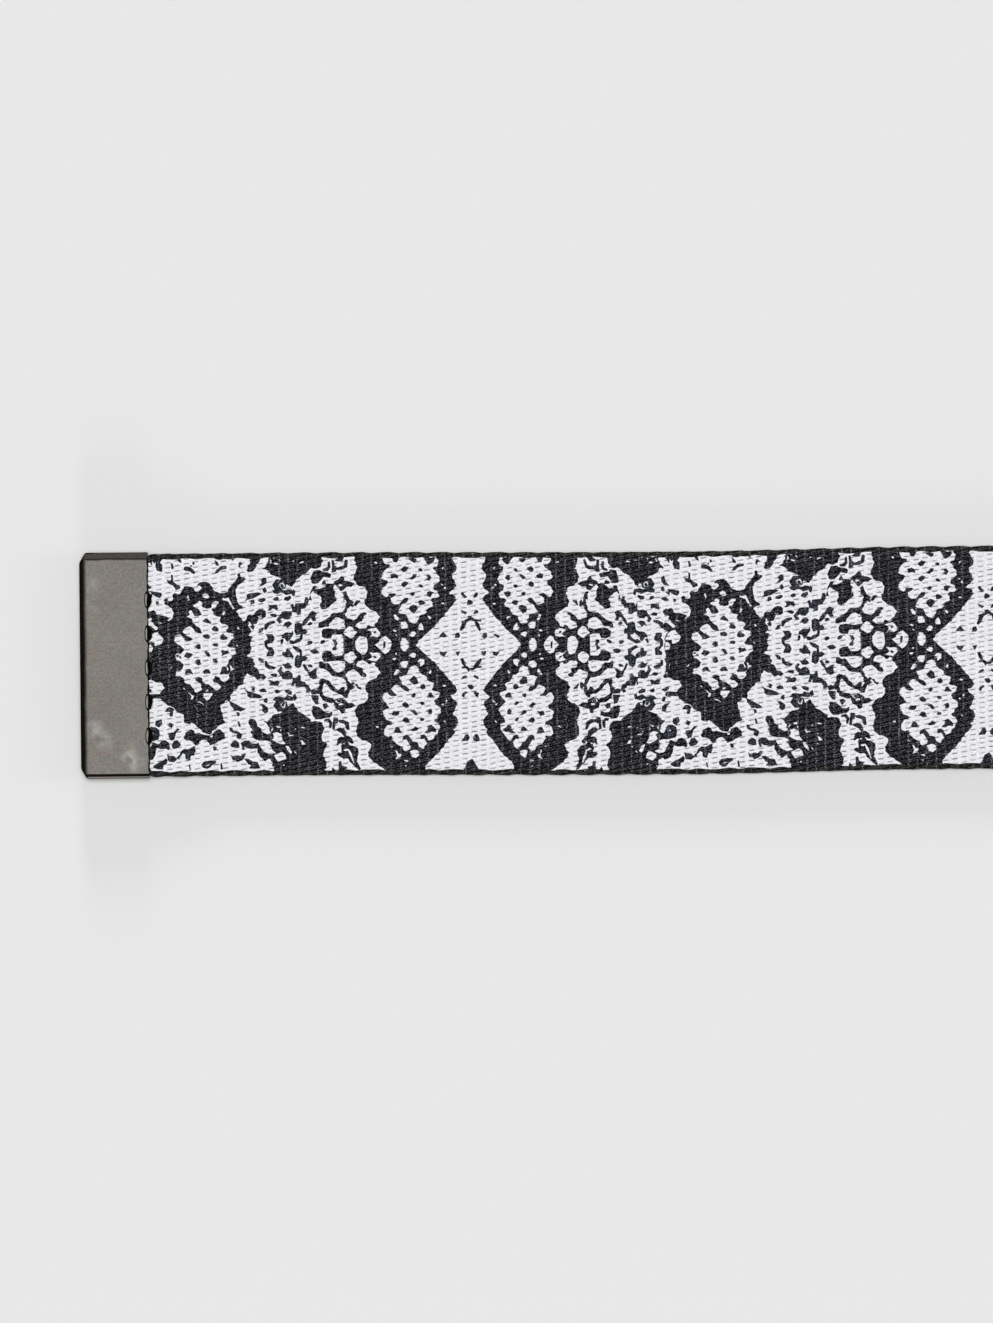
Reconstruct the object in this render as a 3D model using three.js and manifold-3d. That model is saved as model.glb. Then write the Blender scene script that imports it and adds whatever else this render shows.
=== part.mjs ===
// A snakeskin-print web belt: one woven strap, a folded metal tip over its free end,
// and a plain plate buckle that holds its other end.
// Millimetres. X runs along the belt from the tip to the buckle, Y across it, Z up.
// The belt lies flat with its printed face up, and the origin is at the middle of its underside.

import * as THREE from "three";
import { mergeVertices } from "three/addons/utils/BufferGeometryUtils.js";
import Module from "manifold-3d";

const wasm = await Module();
wasm.setup();

// Driving dimensions of the whole belt
const BELT_LENGTH = 1150;
const STRAP_WIDTH = 38;
const STRAP_THICKNESS = 1.8;
const STRAP_EDGE_RADIUS = 0.7;
const FIT_GAP = 0.3;

// The metal tip: a folded sheet cap, open towards the strap
const TIP_LENGTH = 11.6;
const TIP_WIDTH = 38.6;
const TIP_SHEET = 0.7;
const TIP_BEND_RADIUS = 0.65;
const TIP_CORNER_ALONG = 0.9;
const TIP_CORNER_ACROSS = 1.5;

// The buckle: a closed plate on a sleeve, with a jaw across it that clamps the strap's end
const BUCKLE_LENGTH = 56;
const BUCKLE_WIDTH = 44;
const BUCKLE_SHEET = 1.2;
const BUCKLE_SIDE_WALL = 1.6;
const BUCKLE_CORNER_RADIUS = 3;
const BUCKLE_EDGE_RADIUS = 0.9;
const BUCKLE_CHANNEL_HEIGHT = 4.4;
const JAW_THICKNESS = 1.2;
const JAW_LENGTH = 9;
const STRAP_END_IN_BUCKLE = 14;

// How the strap leaves the tip and enters the buckle before it lies flat on the surface
const PINCH_RELEASE = 3;
const TIP_RAMP = 16;
const BUCKLE_RAMP = 26;
const RAMP_STEPS = 6;

// The slight sideways bow of the strap as it lies, measured from the tip's end
const BOW = 0.45;
const BOW_FROM_TIP = 104;
const BOW_REACH_TO_TIP = 75;
const BOW_REACH_TO_BUCKLE = 40;
const BOW_STEPS = 16;

const ARC_SEGMENTS = 4;
const CUT_MARGIN = 5;

// Places worked out from the driving dimensions
const tipEnd = -BELT_LENGTH / 2;
const tipMouth = tipEnd + TIP_LENGTH;
const buckleMouth = BELT_LENGTH / 2;
const buckleInner = buckleMouth - BUCKLE_LENGTH;
const slotHeight = STRAP_THICKNESS + 2 * FIT_GAP;
const tipHeight = slotHeight + 2 * TIP_SHEET;
const strapLiftInTip = TIP_SHEET + FIT_GAP;
const strapLiftInBuckle = BUCKLE_SHEET + FIT_GAP;
const strapWidthInTip = TIP_WIDTH - 2 * TIP_SHEET - 2 * FIT_GAP;
const jawBottom = BUCKLE_SHEET + slotHeight;
const channelBottom = jawBottom + JAW_THICKNESS;
const channelTop = channelBottom + BUCKLE_CHANNEL_HEIGHT;
const buckleHeight = channelTop + BUCKLE_SHEET;
const bowCentre = tipEnd + BOW_FROM_TIP;

// A closed geometry as a manifold solid, and back
function toSolid(geometry) {
  const bare = geometry.clone();
  bare.deleteAttribute("normal");
  bare.deleteAttribute("uv");
  const merged = mergeVertices(bare, 1e-4);
  return new wasm.Manifold(
    new wasm.Mesh({
      numProp: 3,
      vertProperties: merged.attributes.position.array,
      triVerts: new Uint32Array(merged.index.array),
    }),
  );
}

function toGeometry(solid) {
  const mesh = solid.getMesh();
  const geometry = new THREE.BufferGeometry();
  geometry.setAttribute("position", new THREE.BufferAttribute(mesh.vertProperties, 3));
  geometry.setIndex(new THREE.BufferAttribute(mesh.triVerts, 1));
  geometry.computeVertexNormals();
  return geometry;
}

// A box between two corners
function boxSolid([x0, y0, z0], [x1, y1, z1]) {
  const geometry = new THREE.BoxGeometry(x1 - x0, y1 - y0, z1 - z0);
  geometry.translate((x0 + x1) / 2, (y0 + y1) / 2, (z0 + z1) / 2);
  return toSolid(geometry);
}

// A slab with this outline in plan and softly bent edges above and below
function softSlab(outline, height, radius) {
  const geometry = new THREE.ExtrudeGeometry(outline, {
    depth: height - 2 * radius,
    bevelEnabled: true,
    bevelThickness: radius,
    bevelSize: radius,
    bevelOffset: -radius,
    bevelSegments: ARC_SEGMENTS,
    curveSegments: ARC_SEGMENTS,
  });
  geometry.translate(0, 0, radius);
  return toSolid(geometry);
}

// From 0 to 1 with level ends
function smoothStep(t) {
  const s = Math.min(1, Math.max(0, t));
  return s * s * (3 - 2 * s);
}

// The strap's sideways place at x
function sideways(x) {
  const reach = x < bowCentre ? BOW_REACH_TO_TIP : BOW_REACH_TO_BUCKLE;
  const t = Math.min(1, Math.abs(x - bowCentre) / reach);
  return (-BOW * (1 + Math.cos(Math.PI * t))) / 2;
}

// The height of the strap's underside at x
function lift(x) {
  const leaveTip = smoothStep((x - tipMouth) / TIP_RAMP);
  const reachBuckle = smoothStep((x - buckleInner + BUCKLE_RAMP) / BUCKLE_RAMP);
  return strapLiftInTip * (1 - leaveTip) + strapLiftInBuckle * reachBuckle;
}

// The strap's width at x: it is pinched inside the tip
function width(x) {
  const release = smoothStep((x - tipMouth) / PINCH_RELEASE);
  return strapWidthInTip + (STRAP_WIDTH - strapWidthInTip) * release;
}

// One section of the strap at x, a flat band with rounded selvedges, going round from the lower right
function strapSection(x) {
  const outline = [];
  const side = width(x) / 2 - STRAP_EDGE_RADIUS;
  const low = STRAP_EDGE_RADIUS;
  const high = STRAP_THICKNESS - STRAP_EDGE_RADIUS;
  const corners = [
    { y: side, z: low, from: -Math.PI / 2 },
    { y: side, z: high, from: 0 },
    { y: -side, z: high, from: Math.PI / 2 },
    { y: -side, z: low, from: Math.PI },
  ];
  for (const corner of corners) {
    for (let i = 0; i <= ARC_SEGMENTS; i++) {
      const angle = corner.from + (i / ARC_SEGMENTS) * (Math.PI / 2);
      outline.push([
        x,
        sideways(x) + corner.y + STRAP_EDGE_RADIUS * Math.cos(angle),
        lift(x) + corner.z + STRAP_EDGE_RADIUS * Math.sin(angle),
      ]);
    }
  }
  return outline;
}

// Where the sections stand: close together on the ramps and the bow, and none between
function strapStations() {
  const spans = [
    { from: tipEnd + TIP_SHEET + FIT_GAP, to: tipMouth, steps: 1 },
    { from: tipMouth, to: tipMouth + PINCH_RELEASE, steps: RAMP_STEPS / 2 },
    { from: tipMouth + PINCH_RELEASE, to: tipMouth + TIP_RAMP, steps: RAMP_STEPS },
    { from: tipMouth + TIP_RAMP, to: bowCentre + BOW_REACH_TO_BUCKLE, steps: BOW_STEPS },
    { from: bowCentre + BOW_REACH_TO_BUCKLE, to: buckleInner - BUCKLE_RAMP, steps: 1 },
    { from: buckleInner - BUCKLE_RAMP, to: buckleInner, steps: RAMP_STEPS },
    { from: buckleInner, to: buckleInner + STRAP_END_IN_BUCKLE, steps: 1 },
  ];
  const stations = [spans[0].from];
  for (const span of spans) {
    for (let i = 1; i <= span.steps; i++) {
      stations.push(span.from + ((span.to - span.from) * i) / span.steps);
    }
  }
  return stations;
}

// A closed skin over the sections, with a fan over each end
function strapGeometry() {
  const sections = strapStations().map(strapSection);
  const around = sections[0].length;
  const last = (sections.length - 1) * around;
  const faces = [];
  for (let s = 0; s < sections.length - 1; s++) {
    for (let i = 0; i < around; i++) {
      const a = s * around + i;
      const b = s * around + ((i + 1) % around);
      faces.push(a, b, b + around, a, b + around, a + around);
    }
  }
  for (let i = 1; i < around - 1; i++) {
    faces.push(0, i + 1, i, last, last + i, last + i + 1);
  }
  const geometry = new THREE.BufferGeometry();
  geometry.setAttribute("position", new THREE.Float32BufferAttribute(sections.flat(2), 3));
  geometry.setIndex(faces);
  return toGeometry(toSolid(geometry));
}

// The tip: a closed cap with clipped outer corners and a pocket for the strap's end
function tipGeometry() {
  const half = TIP_WIDTH / 2;
  const pastMouth = tipMouth + CUT_MARGIN;
  const outline = new THREE.Shape([
    new THREE.Vector2(tipEnd + TIP_CORNER_ALONG, -half),
    new THREE.Vector2(pastMouth, -half),
    new THREE.Vector2(pastMouth, half),
    new THREE.Vector2(tipEnd + TIP_CORNER_ALONG, half),
    new THREE.Vector2(tipEnd, half - TIP_CORNER_ACROSS),
    new THREE.Vector2(tipEnd, -half + TIP_CORNER_ACROSS),
  ]);
  const beyond = boxSolid(
    [tipMouth, -TIP_WIDTH, -CUT_MARGIN],
    [pastMouth + CUT_MARGIN, TIP_WIDTH, tipHeight + CUT_MARGIN],
  );
  const inside = half - TIP_SHEET;
  const pocket = boxSolid([tipEnd + TIP_SHEET, -inside, TIP_SHEET], [pastMouth, inside, TIP_SHEET + slotHeight]);
  const cap = softSlab(outline, tipHeight, TIP_BEND_RADIUS);
  return toGeometry(cap.subtract(beyond).subtract(pocket));
}

// A rectangle in plan with round corners
function roundedPlate(x0, x1, plateWidth, radius) {
  const half = plateWidth / 2;
  const outline = new THREE.Shape();
  outline.moveTo(x0 + radius, -half);
  outline.lineTo(x1 - radius, -half);
  outline.absarc(x1 - radius, -half + radius, radius, -Math.PI / 2, 0);
  outline.absarc(x1 - radius, half - radius, radius, 0, Math.PI / 2);
  outline.absarc(x0 + radius, half - radius, radius, Math.PI / 2, Math.PI);
  outline.absarc(x0 + radius, -half + radius, radius, Math.PI, Math.PI * 1.5);
  return outline;
}

// The buckle: the plate with its sleeve, cut through for the free end and slotted for the fixed one
function buckleGeometry() {
  const inside = BUCKLE_WIDTH / 2 - BUCKLE_SIDE_WALL;
  const jawEnd = buckleInner + JAW_LENGTH;
  const channel = boxSolid(
    [buckleInner - CUT_MARGIN, -inside, channelBottom],
    [buckleMouth + CUT_MARGIN, inside, channelTop],
  );
  const chamber = boxSolid([jawEnd, -inside, BUCKLE_SHEET], [buckleMouth + CUT_MARGIN, inside, channelTop]);
  const slot = boxSolid(
    [buckleInner - CUT_MARGIN, -inside, BUCKLE_SHEET],
    [jawEnd + CUT_MARGIN, inside, jawBottom],
  );
  const outline = roundedPlate(buckleInner, buckleMouth, BUCKLE_WIDTH, BUCKLE_CORNER_RADIUS);
  const plate = softSlab(outline, buckleHeight, BUCKLE_EDGE_RADIUS);
  return toGeometry(plate.subtract(channel.add(chamber).add(slot)));
}

const webbing = new THREE.MeshStandardMaterial({ color: 0x8c8c8e, roughness: 0.85, metalness: 0 });
const gunmetal = new THREE.MeshStandardMaterial({ color: 0x827e79, roughness: 0.32, metalness: 1 });

function piece(name, geometry, material) {
  const mesh = new THREE.Mesh(geometry, material);
  mesh.name = name;
  return mesh;
}

const belt = new THREE.Group();
belt.add(
  piece("strap", strapGeometry(), webbing),
  piece("belt_tip", tipGeometry(), gunmetal),
  piece("buckle", buckleGeometry(), gunmetal),
);

export default belt;
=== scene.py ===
"""A snakeskin-print web belt with a metal tip and a plain buckle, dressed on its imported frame."""

import math
from itertools import product
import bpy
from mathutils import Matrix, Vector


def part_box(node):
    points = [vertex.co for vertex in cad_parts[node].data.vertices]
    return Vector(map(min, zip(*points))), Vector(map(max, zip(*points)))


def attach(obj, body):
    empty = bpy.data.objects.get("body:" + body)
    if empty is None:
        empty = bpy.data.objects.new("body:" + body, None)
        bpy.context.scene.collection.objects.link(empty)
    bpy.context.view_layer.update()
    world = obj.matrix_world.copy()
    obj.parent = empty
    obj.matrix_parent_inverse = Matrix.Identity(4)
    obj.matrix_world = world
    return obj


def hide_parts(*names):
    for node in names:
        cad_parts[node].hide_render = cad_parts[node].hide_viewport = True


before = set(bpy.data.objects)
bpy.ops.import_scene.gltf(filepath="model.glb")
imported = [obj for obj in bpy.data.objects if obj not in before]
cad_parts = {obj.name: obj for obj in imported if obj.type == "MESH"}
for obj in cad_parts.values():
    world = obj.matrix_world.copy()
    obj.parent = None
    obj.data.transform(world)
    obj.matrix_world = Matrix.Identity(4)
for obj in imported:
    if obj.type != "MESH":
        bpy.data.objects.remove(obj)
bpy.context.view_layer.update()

from types import SimpleNamespace

import bmesh
import bpy
from bpy.props import FloatProperty, FloatVectorProperty, PointerProperty
from mathutils import Matrix, Vector
from mathutils.geometry import delaunay_2d_cdt

bl_info = {
    "name": "Snakeskin Web Belt",
    "version": (1, 0, 0),
    "blender": (4, 5, 0),
    "location": "View3D > Sidebar > Web Belt",
    "description": "Models a printed web belt with its metal tip and buckle",
    "category": "Add Mesh",
}

# The frame's boxes, in metres. Shapes are worked out in millimetres and scaled at the end.
MM = 0.001
TIP_LOW, TIP_HIGH = (Vector(corner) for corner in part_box("belt_tip"))
BUCKLE_LOW, BUCKLE_HIGH = (Vector(corner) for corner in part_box("buckle"))
STRAP_LOW, STRAP_HIGH = (Vector(corner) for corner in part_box("strap"))

# How the print lies on the webbing, in millimetres: its repeat starts at the tip's end, and it is
# mirrored about one line along the strap and about one line across it in each repeat. The half
# past the line across is drawn a little closer to it.
PRINT_REPEAT = 88.2
MIRROR_ALONG = 66.5
MIRROR_ROW = 3.24
MIRRORED_SCALE = 0.94
# A patch with this many places has its corners cut at these shares of each side.
ROUNDED_FROM = 15
CORNER_SHARES = (0.25, 0.75)
DOT_SIDES = 8
SMALL_DOT = 0.8
SMALL_DOT_SIDES = 6
STROKE_END = 0.6
WHITE_YARN, BLACK_PRINT, SELVEDGE, THIN_PRINT = 0, 1, 2, 3
INKS = {"white": WHITE_YARN, "black": BLACK_PRINT}
# A black mark shorter than this is printed thin.
THIN_WITHIN = 3.6
MIRRORS = {
    "": ((1, 1),),
    "x": ((1, 1), (-1, 1)),
    "xy": ((1, 1), (-1, 1), (1, -1), (-1, -1)),
}

# Points and clearances of the strap's mesh, in millimetres.
BORDER_STEPS = 112
FACE_INSET = 0.45
BORDER_CLEARANCE = 0.04
MERGE_WITHIN = 0.0001
SEAM_WITHIN = 0.001
ALONG_STRAP = (1, 0, 0)
ACROSS_STRAP = (0, 1, 0)
SQUARE_ON = 0.99
FLAT_WITHIN = math.radians(3)
# The rounded edge's points: a turn in degrees, and whether it lies below the straight side.
EDGE_TURNS = ((52, 0), (90, 0), (90, 1), (135, 1), (180, 1))
# Uneven waves: how many in a repeat, where they start in radians, and their height.
EDGE_WAVES = ((19, 1.1, 0.06), (18, 2.9, 0.035), (37, 0.2, 0.03))
SELVEDGE_WAVES = ((19, 0.4, 0.11), (7, 1.9, 0.05), (31, 2.6, 0.05))
SELVEDGE_SHIFT = 17.0
SQUEEZE_BAND = 0.16
SQUEEZE_LENGTH = 1.5
INK_SPREAD = 0.06
# The print's ragged edge: its reach, its turn for each millimetre across, its waves in a repeat,
# and the waves in a repeat that its rows drift by.
FRAY = 0.11
FRAY_ACROSS = 7.3
FRAY_TURNS = 73
FRAY_DRIFTS = 9

# How the strap lies: inside the tip, up into the buckle and bowed sideways, in millimetres.
FIT_GAP = 0.3
PINCH_START = 0.4
BOW_FROM_TIP = 104
BOW_REACH_TO_TIP = 75
BOW_REACH_TO_BUCKLE = 40

# The strap's bake map: rows of the face and the back, and their scales along and across.
FACE_ROWS = 5
BACK_ROWS = 2
END_FACING = 0.9
FACE_SCALE = (0.0044, 0.0041)
BACK_SCALE = (0.00175, 0.00152)
ROW_GAP = 0.003
END_ISLAND = 0.985

# The weave, in millimetres: the distances between its columns and between its threads. A thread
# wanders by a share of its own distance.
COLUMN_PITCH = 1.575
THREAD_PITCH = 0.86
THREAD_WANDER = 0.3

# Tones of the webbing. A ramp goes from its start to its full value, and a share comes with what
# is added to it. The gap shade is painted shade between the threads, and the crest and speck shares
# lighten the print with worn yarn and painted sheen.
GAP_SHADE = 0.78
FLECK_SHARE = (0.36, 0.71)
SPECK_RAMP = (0.46, 0.62)
PLY_SHARE = (0.5, 0.5)
CREST_SHARE = (1.1, 0.65)
SPECK_SHARE = (0.8, 0.005)
THIN_SHARE = (0.9, 0.03)
GRAIN_RELIEF = 0.35

# The painted shadow on the strap at the tip's mouth, in millimetres: how far its edge wanders and where
# it fades. The painted shadow where the teeth press the strap fades in shares of its size.
MOUTH_SHADOW_TONE = 0.003
MOUTH_WANDER = 0.4
MOUTH_FADE = (0.3, 0.18)
TOOTH_SHADOW_FADE = (1.05, 0.85)

# The tip's and the buckle's smaller sizes, in millimetres.
CLIP_ALONG = 1.0
CLIP_ACROSS = 1.75
FOLD_CORNER = 0.3
FOLD_SEGMENTS = 3
BACK_BEND = 0.75
BEND_SEGMENTS = 6
RIM_CUTS = 161
RIM_EDGE = 0.14
RIM_SEGMENTS = 2
RIM_INSET = 0.1
# The rim's waves: their turn for each millimetre and where they start in radians, and their height.
RIM_WAVES = ((1.35, 0.4, 0.035), (2.9, 1.2, 0.03), (4.6, 2.2, 0.02))
TOOTH_COUNT = 5
TOOTH_PITCH = 5.8
TOOTH_MIDDLE = -0.43
TOOTH_HALF = 1.4
TOOTH_REACH = 0.42
TOOTH_SHADOW_HALF = 1.5
TOOTH_SHADOW_REACH = 0.85
TOOTH_DROP = 0.15
TOOTH_CUTS = 8
TOOTH_BEND = 0.11
# What counts as far from every tooth, in shares of a tooth's size.
FAR_FROM_TEETH = 9
JAW_LENGTH = 9
JAW_THICKNESS = 1.2
CHANNEL_HEIGHT = 4.4
# How far the boxes that cut the buckle's openings reach past the metal.
CUT_PAST = 1
CORNER_SEGMENTS = 8
MOUTH_EDGE = 0.2
NEAR = 0.01
SHARP_FROM = math.radians(40)
BUCKLE_SHARP_FROM = math.radians(60)
BUCKLE_FLAT_WITHIN = math.radians(0.5)

# The tip's painted shade, dark like mirrored dark surroundings on its bends, and painted highlights on
# its lower lip and teeth, in millimetres from its end or from a long side: bands fade from their start
# to where they are full, and lines have two sides and a softness.
BAND_WANDER = 0.3
END_BAND = (1.42, 0.6)
UPPER_BAND = (1.46, 1.22)
UPPER_BAND_SHARE = 0.64
UPPER_LINE = (0.98, 1.28, 0.1)
UPPER_LINE_SHARE = 0.88
CORNER_LINE = (0.35, 0.2)
CORNER_LENGTH = (3.6, 2.2)
LOWER_LINE = (0.4, 0.88, 0.06)
LOWER_LIP = (0.44, 0.36)
TOOTH_SHINE = (0.1, 0.19, 0.03)
# A tooth's painted shade line round its outline and where its painted highlight fades, as shares of its
# size.
TOOTH_LINE = (0.76, 1.06, 0.06)
SHINE_WITHIN = (0.95, 0.8)
# Heights where the painted shade and highlights start and are full, as shares of the tip's height.
RAISED_SHARES = (0.3, 0.65)
TOP_SHARES = (0.8, 0.9)
BEND_SHADE_COLOUR = (0.0075, 0.006, 0.005, 1)

# Tones of both metals, as shares like those of the webbing, how bright the painted highlights on the
# tip's lip and teeth are, and how bright the buckle's rubbed edges are.
HUE_SHARE = 0.16
METAL_TONE_SHARE = (0.28, 0.82)
METAL_PATCH_SHARE = 0.09
METAL_ROUGH_SHARE = (0.05, 0.32)
LIP_SHINE = 0.3
TOOTH_HIGHLIGHT_SHINE = 0.45
EDGE_SHINE = 0.5

# Each smudge's place along and across the tip and its reach, in millimetres, and its strength.
SMUDGES = (
    (2.7, -11.0, 2.6, 0.36),
    (4.4, -13.0, 2.4, 0.3),
    (8.2, -15.2, 2.6, 0.36),
    (9.5, -16.8, 2.2, 0.46),
    (2.0, 9.9, 2.4, 0.22),
    (2.4, 13.4, 2.4, 0.2),
)
SMUDGE_DRIFT = 3.0
SMUDGE_BREAKS = (0.34, 0.7)

# The stage: the camera's sensor in millimetres, then in metres its place over the belt and the
# floor's reach and drop, then the tones that the metal mirrors, that light the belt and that show
# behind it. Each light has a heading, a height over the horizon and a spread, in degrees.
SENSOR = 36
VIEW_ALONG = 0.07095
VIEW_ACROSS = 0.00009
FLOOR_REACH = 6
FLOOR_DROP = 0.0001
NEAR_MIRRORED = 0.012
FAR_MIRRORED = (0.8, 0.78, 0.75, 1)
TOP_MIRRORED = 1.6
SURROUND_LIGHT = 0.2
BACKDROP = 0.79
LIGHTS = {
    "overhead": (90, 86, 26),
    "upper": (90, 10.4, 10),
    "lower": (-90, 10.4, 10),
    "end": (0, 19, 20),
}
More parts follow.
